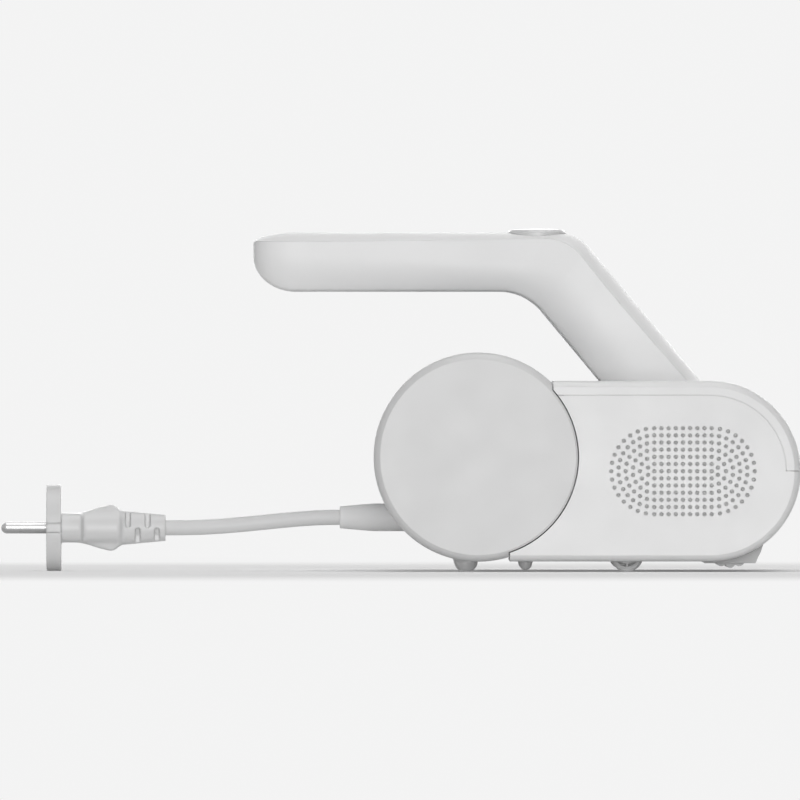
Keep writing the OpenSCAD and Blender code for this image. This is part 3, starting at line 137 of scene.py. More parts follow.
# %% [markdown]
# ## Moulded plastic
# Nearly everything here is injection-moulded plastic. Up close it isn't one flat colour: the steel tool
# leaves a fine grain, the gloss wanders a little, and the colour drifts by a shade over a large wall.
# One builder makes all of these finishes from noise in Object coordinates, so the grain keeps its real
# size on every piece. Its colour and gloss change from piece to piece.

# %% A builder for moulded plastics
def srgb(value):
    """Turns a display value of 0 to 255 into the linear value that Blender works in."""
    c = value / 255
    return c / 12.92 if c <= 0.04045 else ((c + 0.055) / 1.055) ** 2.4


def new_material(name):
    """A material with one Principled shader, and the node that gives it its coordinates."""
    material = bpy.data.materials.new(name)
    material.use_nodes = True
    tree = material.node_tree
    tree.nodes.clear()
    output = tree.nodes.new("ShaderNodeOutputMaterial")
    shader = tree.nodes.new("ShaderNodeBsdfPrincipled")
    tree.links.new(shader.outputs[0], output.inputs[0])
    place = tree.nodes.new("ShaderNodeTexCoord")
    return material, tree, shader, place


def noise(tree, place, scale, detail=2.0, stretch=None):
    """Noise of a real size: scale is in grains per metre."""
    node = tree.nodes.new("ShaderNodeTexNoise")
    node.inputs["Scale"].default_value = scale
    node.inputs["Detail"].default_value = detail
    source = place.outputs["Object"]
    if stretch:
        mapping = tree.nodes.new("ShaderNodeMapping")
        mapping.inputs["Scale"].default_value = stretch
        tree.links.new(source, mapping.inputs["Vector"])
        source = mapping.outputs[0]
    tree.links.new(source, node.inputs["Vector"])
    return node


NOISE_LOW, NOISE_HIGH = 0.3, 0.7


def spread(tree, source, low, high):
    """Maps the middle range of a noise to low and high."""
    node = tree.nodes.new("ShaderNodeMapRange")
    node.inputs["From Min"].default_value = NOISE_LOW
    node.inputs["From Max"].default_value = NOISE_HIGH
    node.inputs["To Min"].default_value = low
    node.inputs["To Max"].default_value = high
    tree.links.new(source, node.inputs["Value"])
    return node


def two_colours(tree, source, dark, light):
    """Blends from dark to light over the middle range of a noise."""
    node = tree.nodes.new("ShaderNodeValToRGB")
    node.color_ramp.elements[0].position = NOISE_LOW
    node.color_ramp.elements[0].color = (*dark, 1)
    node.color_ramp.elements[1].position = NOISE_HIGH
    node.color_ramp.elements[1].color = (*light, 1)
    tree.links.new(source, node.inputs[0])
    return node


def bump(tree, shader, source, strength, distance, soft_edge=0.0):
    """Fine relief; soft_edge rounds the look of sharp edges by that radius."""
    node = tree.nodes.new("ShaderNodeBump")
    node.inputs["Strength"].default_value = strength
    node.inputs["Distance"].default_value = distance
    tree.links.new(source, node.inputs["Height"])
    tree.links.new(node.outputs[0], shader.inputs["Normal"])
    if soft_edge:
        edge = tree.nodes.new("ShaderNodeBevel")
        edge.samples = 6
        edge.inputs["Radius"].default_value = soft_edge
        tree.links.new(edge.outputs[0], node.inputs["Normal"])


COLOUR_DRIFT = 0.012
COLOUR_PATCHES, GLOSS_PATCHES = 22, 70
PLASTIC_IOR = 1.49


def plastic(name, grey, rough=0.42, grain=2200, depth=0.00003, soft=0.0, edge=0.0003):
    """Moulded plastic: grey is its display value, rough its roughness, grain and depth its relief, soft its
    sheen, and edge the radius that its sharp edges seem to have."""
    material, tree, shader, place = new_material(name)
    light = (srgb(grey) * (1 + COLOUR_DRIFT),) * 3
    dark = (srgb(grey) * (1 - COLOUR_DRIFT),) * 3
    shade = two_colours(tree, noise(tree, place, COLOUR_PATCHES, 3).outputs[0], dark, light)
    tree.links.new(shade.outputs[0], shader.inputs["Base Color"])
    gloss = spread(tree, noise(tree, place, GLOSS_PATCHES, 2).outputs[0], rough - 0.03, rough + 0.04)
    tree.links.new(gloss.outputs[0], shader.inputs["Roughness"])
    bump(tree, shader, noise(tree, place, grain, 2).outputs[0], 0.35, depth, edge)
    shader.inputs["IOR"].default_value = PLASTIC_IOR
    if soft:
        shader.inputs["Sheen Weight"].default_value = soft
        shader.inputs["Sheen Roughness"].default_value = 0.5
    return material


def dress(material, *names):
    """Gives a finish to CAD nodes."""
    for name in names:
        mesh = nodes[name].data
        if not mesh.materials:
            mesh.materials.append(material)
        for slot in nodes[name].material_slots:
            slot.material = material


shell_white = plastic("shell_white", 225, rough=0.38)
drum_white = plastic("drum_white", 212, rough=0.4, grain=2600)
# Painted light: the handle is the same white as the shell, painted lighter to make up for the shade on its
# rounded underside.
handle_white = plastic("handle_white", 240, rough=0.5, grain=2600, edge=0.0)
button_grey = plastic("button_grey", 208, rough=0.3, depth=0.00001, edge=0.0005)
moulding_grey = plastic("moulding_grey", 186, rough=0.42)
glide_grey = plastic("glide_grey", 226, rough=0.32)
# Painted light: the hubs' grey is painted lighter to make up for the shade they sit in under the machine.
wheel_grey = plastic("wheel_grey", 205, rough=0.4)
inner_black = plastic("inner_black", 62, rough=0.55)
plug_white = plastic("plug_white", 214, rough=0.38, depth=0.00002)
pulley_black = plastic("pulley_black", 48, rough=0.4)
dress(shell_white, "top_cover", "side_panel_right", "side_panel_left", "base_plate", "rear_base")
dress(handle_white, "handle_shell", "handle_cover")
dress(drum_white, "cup_disc", "cap_disc")
dress(button_grey, "power_button", "release_button")
dress(moulding_grey, "bay_wall", "suction_mouth", "contact_plunger", "cap_plug")
dress(glide_grey, "rear_feet")
dress(wheel_grey, "wheel_hub_right", "wheel_hub_left")
dress(inner_black, "suction_duct", "clean_duct", "fan_casing", "motor_cradle", "drive_plate",
      "lamp_holders", "contact_switch", "cord_clamp", "filter_frame")
dress(plug_white, "plug_body")
dress(pulley_black, "roller_pulley")
print("plastics done")

# %% [markdown]
# ## Rubber and soft plastic
# The lead's sheath, its boot, the wheels' treads, the roller's sleeve, the belt and the seals are soft.
# Soft compounds scatter light more than hard mouldings, so they get a higher roughness and a little sheen.
# The boot, the treads and the sleeve have a coarser grain too.

# %% Soft compounds
cord_white = plastic("cord_white", 216, rough=0.5, grain=2600, depth=0.00001, soft=0.1, edge=0.0)
# Painted light: the boot is painted lighter than the lead beside it, to make up for the shade it stands in
# behind the cup.
boot_grey_painted_light = plastic("boot_grey_painted_light", 232, rough=0.6, grain=1800, soft=0.15)
# Painted light: the treads' grey is painted lighter to make up for the shade they sit in under the machine.
tyre_grey_painted_light = plastic("tyre_grey_painted_light", 218, rough=0.75, grain=1500, depth=0.00006, soft=0.2)
roller_grey = plastic("roller_grey", 214, rough=0.7, grain=1800, depth=0.00005, soft=0.25)
seal_black = plastic("seal_black", 45, rough=0.7, soft=0.2)
lead.data.materials.append(cord_white)
dress(boot_grey_painted_light, "cord_boot")
dress(tyre_grey_painted_light, "wheel_tyre_right", "wheel_tyre_left")
dress(seal_black, "port_seals", "motor_mounts", "cap_seal", "drive_belt")
print("soft compounds done")

# %% [markdown]
# ## Metals
# Turned and drawn metal shows fine lines round its axis. All shafts here run across the machine, along Y,
# so the noise is squeezed along that axis: long grains one way, short ones the other.

# %% Metals
def metal(name, colour, rough, stretch, depth=0.000006):
    """Metal with drawn or turned lines; stretch squeezes the noise along each axis."""
    material, tree, shader, place = new_material(name)
    lines = noise(tree, place, 900, 3, stretch)
    dark = tuple(c * 0.92 for c in colour)
    shade = two_colours(tree, lines.outputs[0], dark, colour)
    tree.links.new(shade.outputs[0], shader.inputs["Base Color"])
    gloss = spread(tree, lines.outputs[0], rough - 0.05, rough + 0.08)
    tree.links.new(gloss.outputs[0], shader.inputs["Roughness"])
    bump(tree, shader, lines.outputs[0], 0.4, depth)
    shader.inputs["Metallic"].default_value = 1
    return material


TURNED = (0.2, 6, 0.2)
steel = metal("turned_steel", (0.62, 0.63, 0.65), 0.3, TURNED)
can_steel = metal("can_steel", (0.56, 0.57, 0.59), 0.38, (1, 0.15, 1))
brass = metal("sintered_brass", (0.62, 0.47, 0.24), 0.42, (1, 1, 1), 0.00002)
polished = metal("polished_sheet", (0.82, 0.83, 0.84), 0.12, (1, 0.1, 1), 0.000002)
wire = metal("spring_wire", (0.5, 0.51, 0.53), 0.28, (1, 1, 6))
pin_plate = metal("plated_pin", (0.46, 0.46, 0.46), 0.3, (6, 0.3, 0.3), 0.000003)
dress(steel, "wheel_axles", "handle_screws", "casing_screws", "roller_shaft", "motor_pulley",
      "motor_shaft")
dress(can_steel, "fan_motor", "roller_motor")
dress(brass, "roller_bushes")
dress(polished, "lamp_reflector", "impeller")
dress(wire, "button_spring", "release_spring", "plunger_spring")
dress(pin_plate, "plug_pins")
print("metals done")

# %% [markdown]
# ## Springs that press together
# Each spring has one end on the housing and the other on its button or finger. As that piece moves in, the
# spring gets shorter by the same travel. The table below lists each spring's joint, its travel and its fixed
# end; here each spring only gets a mesh of its own, and its height is printed.

# %% Give each spring its own mesh
SPRINGS = [
    # spring, its joint, the joint's travel, whether the spring stands on its lower end
    ("button_spring", "button_press", 0.0012, True),
    ("release_spring", "release_press", 0.0020, True),
    ("plunger_spring", "plunger_lift", 0.0024, False),
]
for name, joint, travel, low_end_fixed in SPRINGS:
    low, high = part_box(name)
    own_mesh(nodes[name])
    print(name, "height:", round(high.z - low.z, 4))

# %% [markdown]
# ## Clear parts
# The cup's wall and the lamp's window are clear mouldings, and the tube is glass. They pass light, so their
# shader has transmission and a glass-like index. The smoke tint of the cup is its base colour.

# %% Clear parts
def clear(name, colour, rough, ior):
    """A clear material with a little haze: colour is its tint, ior its index of refraction."""
    material, tree, shader, place = new_material(name)
    haze = spread(tree, noise(tree, place, 40, 2).outputs[0], rough, rough + 0.05)
    tree.links.new(haze.outputs[0], shader.inputs["Roughness"])
    darker = tuple(c * 0.98 for c in colour)
    tint = two_colours(tree, noise(tree, place, 12, 1).outputs[0], darker, colour)
    tree.links.new(tint.outputs[0], shader.inputs["Base Color"])
    shader.inputs["Transmission Weight"].default_value = 1
    shader.inputs["IOR"].default_value = ior
    return material


clear_cup = clear("clear_cup", (0.72, 0.75, 0.78), 0.04, PLASTIC_IOR)
window = clear("clear_window", (0.86, 0.88, 0.93), 0.02, PLASTIC_IOR)
tube_glass = clear("tube_glass", (0.86, 0.87, 0.98), 0.01, 1.5)
dress(clear_cup, "cup_barrel")
dress(window, "lamp_window")
dress(tube_glass, "lamp_tube")

# %% [markdown]
# ## Circuit boards
# A board is glass-fibre laminate under a green lacquer. The weave of the cloth below shows faintly.

# %% Circuit boards
board, board_tree, board_shader, board_place = new_material("board_green")
weave = board_tree.nodes.new("ShaderNodeTexChecker")
weave.inputs["Scale"].default_value = 1800
weave.inputs["Color1"].default_value = (0.015, 0.11, 0.045, 1)
weave.inputs["Color2"].default_value = (0.02, 0.13, 0.055, 1)
board_tree.links.new(board_place.outputs["Object"], weave.inputs["Vector"])
board_tree.links.new(weave.outputs[0], board_shader.inputs["Base Color"])
board_shader.inputs["Roughness"].default_value = 0.35
dress(board, "switch_board", "circuit_board")

# %% [markdown]
# ## Pieces that grow from nodes
# Folds, lobes and spokes repeat one simple form many times. A node group makes such a piece from a few
# named numbers. It runs on an empty mesh, and what it makes is kept as a plain mesh.

# %% Helpers for node groups
def new_tree(name, inputs):
    """A node group with named number inputs, each with its first value."""
    tree = bpy.data.node_groups.new(name, "GeometryNodeTree")
    tree.interface.new_socket("Geometry", in_out="INPUT", socket_type="NodeSocketGeometry")
    tree.interface.new_socket("Geometry", in_out="OUTPUT", socket_type="NodeSocketGeometry")
    for label, kind, value in inputs:
        socket = tree.interface.new_socket(label, in_out="INPUT", socket_type=kind)
        socket.default_value = value
    return tree, tree.nodes.new("NodeGroupInput"), tree.nodes.new("NodeGroupOutput")


def add(tree, kind, links=None, values=None, **settings):
    """Adds a node, sets its properties and values, and links its inputs."""
    node = tree.nodes.new(kind)
    for key, value in settings.items():
        setattr(node, key, value)
    for key, value in (values or {}).items():
        node.inputs[key].default_value = value
    for key, source in (links or {}).items():
        tree.links.new(source, node.inputs[key])
    return node


def maths(tree, operation, first, second=None, third=None):
    """One arithmetic node; each term is a number or another node's output."""
    node = tree.nodes.new("ShaderNodeMath")
    node.operation = operation
    for slot, term in zip(node.inputs, (first, second, third)):
        if isinstance(term, (int, float)):
            slot.default_value = term
        elif term is not None:
            tree.links.new(term, slot)
    return node.outputs[0]


def as_shown(thing):
    """An object's mesh with its modifiers applied."""
    return bpy.data.meshes.new_from_object(thing.evaluated_get(bpy.context.evaluated_depsgraph_get()))


def run_tree(tree, name, values, material):
    """Runs a node group on an empty mesh and keeps the result as a plain mesh."""
    carrier = bpy.data.objects.new(name + "_carrier", bpy.data.meshes.new(name))
    collection.objects.link(carrier)
    modifier = carrier.modifiers.new("grow", "NODES")
    modifier.node_group = tree
    for item in tree.interface.items_tree:
        if item.in_out == "INPUT" and item.name in values:
            modifier[item.identifier] = values[item.name]
    mesh = as_shown(carrier)
    bpy.data.objects.remove(carrier)
    piece = bpy.data.objects.new(name, mesh)
    mesh.materials.clear()
    mesh.materials.append(material)
    collection.objects.link(piece)
    print(name, "faces:", len(mesh.polygons))
    return piece


def close_tree(tree, geometry, result, material):
    """Ends a node group: makes its instances real and sets its material."""
    realized = add(tree, "GeometryNodeRealizeInstances", {"Geometry": geometry})
    painted = add(tree, "GeometryNodeSetMaterial", {"Geometry": realized.outputs[0]}, {"Material": material})
    tree.links.new(painted.outputs[0], result.inputs[0])


def draw_out(tree, profile, length, result, material):
    """Draws an outline out along Z to a closed form, and ends the node group."""
    line_end = add(tree, "ShaderNodeCombineXYZ", {"Z": length})
    line = add(tree, "GeometryNodeCurvePrimitiveLine", {"End": line_end.outputs[0]})
    drawn = add(tree, "GeometryNodeCurveToMesh", {"Curve": line.outputs[0], "Profile Curve": profile},
                {"Fill Caps": True})
    close_tree(tree, drawn.outputs[0], result, material)


def lay_along_y(piece, x, y, z):
    """Turns a piece that was made along Z to lie along Y, and moves its zero point to a place."""
    piece.data.transform(Matrix.Translation((x, y, z)) @ Matrix.Rotation(math.radians(-90), 4, "X"))


# %% [markdown]
# ## The filter's paper
# A cartridge filter is a strip of paper folded like a fan and closed to a ring. Sculpting forty-four folds
# would be slow and uneven. Geometry Nodes have a Star curve, which is exactly this zigzag: its two radii
# are the inner and outer folds. The folds are rounded, then the outline is drawn out along the filter.

# %% Fold the filter's paper
FOLDS = 44
FOLD_INSIDE, FOLD_GAP, FOLD_ROUND = 0.0152, 0.00005, 0.00025
paper, paper_tree, paper_shader, paper_place = new_material("filter_paper")
fibres = noise(paper_tree, paper_place, 1600, 4, (1, 0.25, 1))
paper_shade = two_colours(paper_tree, fibres.outputs[0], (0.68, 0.67, 0.63), (0.78, 0.77, 0.73))
paper_tree.links.new(paper_shade.outputs[0], paper_shader.inputs["Base Color"])
bump(paper_tree, paper_shader, fibres.outputs[0], 0.5, 0.00006)
paper_shader.inputs["Roughness"].default_value = 0.9

pleat_tree, given, result = new_tree("folded_paper", [
    ("Folds", "NodeSocketInt", FOLDS),
    ("Outer", "NodeSocketFloat", 0.0204),
    ("Inner", "NodeSocketFloat", FOLD_INSIDE),
    ("Length", "NodeSocketFloat", 0.09),
])
star = add(pleat_tree, "GeometryNodeCurveStar", {
    "Points": given.outputs["Folds"], "Outer Radius": given.outputs["Outer"],
    "Inner Radius": given.outputs["Inner"],
})
rounded = add(pleat_tree, "GeometryNodeFilletCurve", {"Curve": star.outputs[0]},
              {"Radius": FOLD_ROUND, "Count": 3}, mode="POLY")
draw_out(pleat_tree, rounded.outputs[0], given.outputs["Length"], result, paper)

low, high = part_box("filter_pleats")
filter_paper = run_tree(pleat_tree, "filter_folds", {
    "Outer": (high.x - low.x) / 2 - FOLD_GAP, "Length": high.y - low.y,
}, paper)
lay_along_y(filter_paper, (low.x + high.x) / 2, low.y, (low.z + high.z) / 2)
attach(filter_paper, "filter")
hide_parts("filter_pleats")

# %% [markdown]
# ## The plug's moulding
# The plug is cast round its pins in one shot, so its body, its finger wings and its slotted boot flow into
# each other without a crease. Rounding every edge of the solid by hand would take long. A fine voxel remesh
# of a copy turns it into one even skin, and a few rounds of smoothing melt the creases as the mould does.
# The grip between the flange and the slotted boot gets many more rounds.

# %% Soften the plug
PLUG_VOXEL, PLUG_ROUNDS = 0.0003, 5
PLUG_MIDDLE, MIDDLE_ROUNDS = (-0.1950, -0.1688), 160
BLEND_WIDTH = 0.0015


def softened(name, node, voxel, rounds, middle, more_rounds, material):
    """A copy of a CAD node as one even skin with soft edges, and softer still between two x places."""
    form = bmesh.new()
    form.from_mesh(nodes[node].data)
    bmesh.ops.remove_doubles(form, verts=form.verts, dist=0.00001)
    mesh = bpy.data.meshes.new(name)
    form.to_mesh(mesh)
    form.free()
    piece = bpy.data.objects.new(name, mesh)
    collection.objects.link(piece)
    even = piece.modifiers.new("even", "REMESH")
    even.mode = "VOXEL"
    even.voxel_size = voxel
    melt = piece.modifiers.new("melt", "SMOOTH")
    melt.factor = 0.5
    melt.iterations = rounds
    piece.data = as_shown(piece)
    piece.modifiers.clear()
    group = piece.vertex_groups.new(name="middle")
    for point in piece.data.vertices:
        inside = min(point.co.x - middle[0], middle[1] - point.co.x) / BLEND_WIDTH
        if inside > 0:
            group.add([point.index], min(1.0, inside), "REPLACE")
    blend = piece.modifiers.new("blend", "SMOOTH")
    blend.factor = 0.5
    blend.iterations = more_rounds
    blend.vertex_group = "middle"
    skin = as_shown(piece)
    piece.modifiers.clear()
    piece.vertex_groups.clear()
    piece.data = skin
    skin.materials.clear()
    skin.materials.append(material)
    skin.shade_smooth()
    print(name, "faces:", len(skin.polygons))
    return piece


plug_cover = softened("plug_moulding", "plug_body", PLUG_VOXEL, PLUG_ROUNDS, PLUG_MIDDLE, MIDDLE_ROUNDS,
                      plug_white)
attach(plug_cover, "housing")
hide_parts("plug_body")

# %% [markdown]
# ## The roller's sleeve
# The beater roller wears a soft fluted sleeve: sixteen round lobes side by side. Modelling one lobe and
# copying it would leave seams between them. In Geometry Nodes the outline is a circle whose points are
# pushed out to the lobes by one formula, so the sleeve is one closed skin, whatever the number of lobes.

# %% Mould the sleeve
POINTS_PER_LOBE = 12
sleeve_tree, given, result = new_tree("fluted_sleeve", [
    ("Lobes", "NodeSocketInt", 16),
    ("Lobe Centre", "NodeSocketFloat", 0.00985),
    ("Lobe Radius", "NodeSocketFloat", 0.00215),
    ("Length", "NodeSocketFloat", 0.16),
])
outline_points = maths(sleeve_tree, "MULTIPLY", given.outputs["Lobes"], POINTS_PER_LOBE)
outline = add(sleeve_tree, "GeometryNodeCurvePrimitiveCircle", {"Resolution": outline_points},
              {"Radius": 1.0})
spot = add(sleeve_tree, "GeometryNodeInputPosition")
parts = add(sleeve_tree, "ShaderNodeSeparateXYZ", {"Vector": spot.outputs[0]})
turn = maths(sleeve_tree, "ARCTAN2", parts.outputs[1], parts.outputs[0])
half_lobe = maths(sleeve_tree, "DIVIDE", math.pi, given.outputs["Lobes"])
from_lobe = maths(sleeve_tree, "WRAP", turn, half_lobe, maths(sleeve_tree, "MULTIPLY", half_lobe, -1.0))
along = maths(sleeve_tree, "MULTIPLY", given.outputs["Lobe Centre"], maths(sleeve_tree, "COSINE", from_lobe))
aside = maths(sleeve_tree, "MULTIPLY", given.outputs["Lobe Centre"], maths(sleeve_tree, "SINE", from_lobe))
left_over = maths(sleeve_tree, "SUBTRACT",
                  maths(sleeve_tree, "POWER", given.outputs["Lobe Radius"], 2.0),
                  maths(sleeve_tree, "MULTIPLY", aside, aside))
reach = maths(sleeve_tree, "ADD", along, maths(sleeve_tree, "SQRT", left_over))
pushed = add(sleeve_tree, "ShaderNodeVectorMath", {0: spot.outputs[0], "Scale": reach}, operation="SCALE")
fluted = add(sleeve_tree, "GeometryNodeSetPosition",
             {"Geometry": outline.outputs[0], "Position": pushed.outputs[0]})
draw_out(sleeve_tree, fluted.outputs[0], given.outputs["Length"], result, roller_grey)

low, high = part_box("brush_roller")
sleeve = run_tree(sleeve_tree, "fluted_sleeve", {"Length": high.y - low.y}, roller_grey)
lay_along_y(sleeve, (low.x + high.x) / 2, low.y, (low.z + high.z) / 2)
sleeve.data.shade_smooth()
sleeve.data.set_sharp_from_angle(angle=math.radians(40))
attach(sleeve, "roller")
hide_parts("brush_roller")

# %% [markdown]
# ## Exhaust foam
# Behind each grille a thin pad of open foam takes the last dust out of the air and keeps the inside dark
# and quiet. It has round ends as the grille has: its outline is set out twice, one thickness apart, and
# the two are closed to a plate.

# %% Cut the foam pads
foam, foam_tree, foam_shader, foam_place = new_material("open_foam")
cells = foam_tree.nodes.new("ShaderNodeTexVoronoi")
cells.inputs["Scale"].default_value = 2400
foam_tree.links.new(foam_place.outputs["Object"], cells.inputs["Vector"])
foam_shade = two_colours(foam_tree, cells.outputs["Distance"], (0.55, 0.55, 0.55), (0.74, 0.74, 0.74))
foam_tree.links.new(foam_shade.outputs[0], foam_shader.inputs["Base Color"])
bump(foam_tree, foam_shader, cells.outputs["Distance"], 0.6, 0.0002)
foam_shader.inputs["Roughness"].default_value = 0.95
FOAM_X, FOAM_Z = 0.0654, 0.0422
FOAM_W, FOAM_H, FOAM_T = 0.0660, 0.0420, 0.0014
FOAM_POINTS = 96
INNER_WALL, FOAM_GAP = 0.1026, 0.00005


def piece_from(form, name, material, sharp=None):
    """Keeps a form as a piece with one material, smooth up to the angle sharp, in degrees."""
    bmesh.ops.recalc_face_normals(form, faces=form.faces)
    mesh = bpy.data.meshes.new(name)
    form.to_mesh(mesh)
    form.free()
    if sharp:
        mesh.shade_smooth()
        mesh.set_sharp_from_angle(angle=math.radians(sharp))
    mesh.materials.append(material)
    piece = bpy.data.objects.new(name, mesh)
    collection.objects.link(piece)
    print(name, "faces:", len(mesh.polygons))
    return piece


def foam_pad(name, y0):
    """A pad with round ends, from y0 on towards +Y."""
    outline = []
    for i in range(FOAM_POINTS):
        a = 2 * math.pi * i / FOAM_POINTS
        shift = (FOAM_W - FOAM_H) / 2 * (1 if math.cos(a) >= 0 else -1)
        outline.append((FOAM_X + shift + FOAM_H / 2 * math.cos(a), FOAM_Z + FOAM_H / 2 * math.sin(a)))
    form = bmesh.new()
    front, back = ([form.verts.new((x, y, z)) for x, z in outline] for y in (y0, y0 + FOAM_T))
    form.faces.new(front)
    form.faces.new(back[::-1])
    for k in range(-1, FOAM_POINTS - 1):
        form.faces.new((front[k], front[k + 1], back[k + 1], back[k]))
    piece = piece_from(form, name, foam)
    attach(piece, "housing")


foam_pad("foam_pad_right", -INNER_WALL + FOAM_GAP)
foam_pad("foam_pad_left", INNER_WALL - FOAM_GAP - FOAM_T)

# %% [markdown]
# ## Wheel hubs
# A hub has an open groove inside its tyre, bridged by six short spokes. Turned by hand it would be a lathe
# profile with spokes cut in later. In Geometry Nodes a ring is a rectangle swept round a circle, and one
# block is set out six times round the hub, once on each face.

# %% Build the hubs
SPOKE_WIDTH, OVERLAP = 0.0009, 0.0001
hub_tree, given, result = new_tree("wheel_hub", [
    ("Spokes", "NodeSocketInt", 6),
    ("Bore", "NodeSocketFloat", 0.0016),
    ("Groove Inside", "NodeSocketFloat", 0.0038),
    ("Groove Outside", "NodeSocketFloat", 0.00479),
    ("Width", "NodeSocketFloat", 0.010),
    ("Groove Depth", "NodeSocketFloat", 0.0042),
])


def swept_ring(tree, inside, outside, height):
    """A ring of rectangular section round Z."""
    middle = maths(tree, "MULTIPLY", maths(tree, "ADD", inside, outside), 0.5)
    path = add(tree, "GeometryNodeCurvePrimitiveCircle", {"Radius": middle}, {"Resolution": 96})
    section = add(tree, "GeometryNodeCurvePrimitiveQuadrilateral",
                  {"Width": maths(tree, "SUBTRACT", outside, inside), "Height": height})
    return add(tree, "GeometryNodeCurveToMesh",
               {"Curve": path.outputs[0], "Profile Curve": section.outputs[0]})


bore, groove_in, groove_out = (given.outputs[name] for name in ("Bore", "Groove Inside", "Groove Outside"))
core = swept_ring(hub_tree, bore, groove_in, given.outputs["Width"])
web_height = maths(hub_tree, "MULTIPLY_ADD", given.outputs["Groove Depth"], -2.0, given.outputs["Width"])
web = swept_ring(hub_tree, maths(hub_tree, "SUBTRACT", groove_in, OVERLAP), groove_out, web_height)
spoke_length = maths(hub_tree, "SUBTRACT", groove_out, groove_in)
spoke_height = maths(hub_tree, "ADD", given.outputs["Groove Depth"], OVERLAP)
spoke_size = add(hub_tree, "ShaderNodeCombineXYZ", {
    "X": maths(hub_tree, "ADD", spoke_length, OVERLAP), "Z": spoke_height}, {"Y": SPOKE_WIDTH})
spoke = add(hub_tree, "GeometryNodeMeshCube", {"Size": spoke_size.outputs[0]})
spoke_room = maths(hub_tree, "SUBTRACT", given.outputs["Width"], spoke_height)
spoke_place = add(hub_tree, "ShaderNodeCombineXYZ", {
    "X": maths(hub_tree, "MULTIPLY", maths(hub_tree, "ADD", groove_in, groove_out), 0.5),
    "Z": maths(hub_tree, "MULTIPLY", spoke_room, 0.5)})
spoke_out = add(hub_tree, "GeometryNodeTransform",
                {"Geometry": spoke.outputs[0], "Translation": spoke_place.outputs[0]})
spots = add(hub_tree, "GeometryNodePoints", {"Count": given.outputs["Spokes"]})
number = add(hub_tree, "GeometryNodeInputIndex")
turn = maths(hub_tree, "MULTIPLY_ADD", number.outputs[0],
             maths(hub_tree, "DIVIDE", 2 * math.pi, given.outputs["Spokes"]), math.pi / 6)
turned = add(hub_tree, "ShaderNodeCombineXYZ", {"Z": turn})
spokes = add(hub_tree, "GeometryNodeInstanceOnPoints", {
    "Points": spots.outputs[0], "Instance": spoke_out.outputs[0], "Rotation": turned.outputs[0]})
spokes_real = add(hub_tree, "GeometryNodeRealizeInstances", {"Geometry": spokes.outputs[0]})
other_face = add(hub_tree, "GeometryNodeTransform", {"Geometry": spokes_real.outputs[0]},
                 {"Rotation": (math.pi, 0, 0)})
hub_parts = add(hub_tree, "GeometryNodeJoinGeometry")
for part in (core, web, spokes_real, other_face):
    hub_tree.links.new(part.outputs[0], hub_parts.inputs[0])
close_tree(hub_tree, hub_parts.outputs[0], result, wheel_grey)

for side_name in ("right", "left"):
    low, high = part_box("wheel_hub_" + side_name)
    hub = run_tree(hub_tree, "spoked_hub_" + side_name, {"Width": high.y - low.y}, wheel_grey)
    lay_along_y(hub, *((low + high) / 2))
    hub.data.set_sharp_from_angle(angle=math.radians(30))
    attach(hub, "wheel_" + side_name)
    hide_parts("wheel_hub_" + side_name)

# %% [markdown]
# ## Collars of the glide feet
# Each glide foot runs out into the underside with a hollow curve, so that no dirt edge is left. The curve is
# a quarter of an ellipse turned round the foot's middle. Four feet of two sizes need it, so one function
# turns it.

# %% Turn the collars
COLLAR_WALL = 0.0006
FRONT_FOOT_X = -0.0003


def turned_collars(name, x, y, radius, flare, low_z, high_z, top_z):
    """Rings with a hollow outer curve round two vertical axes, at y on either side."""
    section = [(radius - COLLAR_WALL, low_z)]
    section += [(radius + flare * (1 - math.cos(math.radians(10 * k))),
                 low_z + (high_z - low_z) * math.sin(math.radians(10 * k))) for k in range(10)]
    section += [(radius + flare, top_z), (radius - COLLAR_WALL, top_z)]
    turns = [math.tau * k / 64 for k in range(64)]
    form = bmesh.new()
    for middle in (-y, y):
        rings = [[form.verts.new((x + r * math.cos(a), middle + r * math.sin(a), z)) for a in turns]
                 for r, z in section]
        for inner, outer in zip(rings, rings[1:] + rings[:1]):
            for k in range(64):
                form.faces.new((inner[k], inner[(k + 1) % 64], outer[(k + 1) % 64], outer[k]))
    piece = piece_from(form, name, glide_grey, sharp=35)
    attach(piece, "housing")


low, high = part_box("rear_feet")
foot_r = (high.x - low.x) / 2
foot_x, foot_y = (low.x + high.x) / 2, high.y - foot_r
turned_collars("rear_foot_collars", foot_x, foot_y, radius=0.00488, flare=0.0013,
               low_z=0.0034, high_z=0.0057, top_z=0.0072)
turned_collars("front_foot_collars", FRONT_FOOT_X, foot_y, radius=0.00268, flare=0.0011,
               low_z=0.0029, high_z=0.00445, top_z=0.0050)

# %% [markdown]
# ## The tongue in the cover's seam
# The top cover and the side panel meet in a tongue and groove. From outside the tongue closes the seam a
# little below the surface, so the seam is a fine line and not a black slit. It is a thin strip along the
# seam: level under the cover, round the nose, then out through the step.

# %% Run the tongue along the seam
SEAM_Z, NOSE_X, NOSE_Z, SEAM_R = 73.9, 76.9, 42.2, 31.7
SEAM_START, STEP_END = 15.5, 110.5
TONGUE_FACE, TONGUE_BACK, TONGUE_HALF = 104.65, 103.4, 0.6
seam_line = [(SEAM_START + (NOSE_X - SEAM_START) * k / 8, SEAM_Z) for k in range(8)]
seam_line += [(NOSE_X + SEAM_R * math.sin(a), NOSE_Z + SEAM_R * math.cos(a))
              for a in (math.radians(3 * k) for k in range(31))]
step_line = [(NOSE_X + SEAM_R, NOSE_Z), (STEP_END, NOSE_Z)]


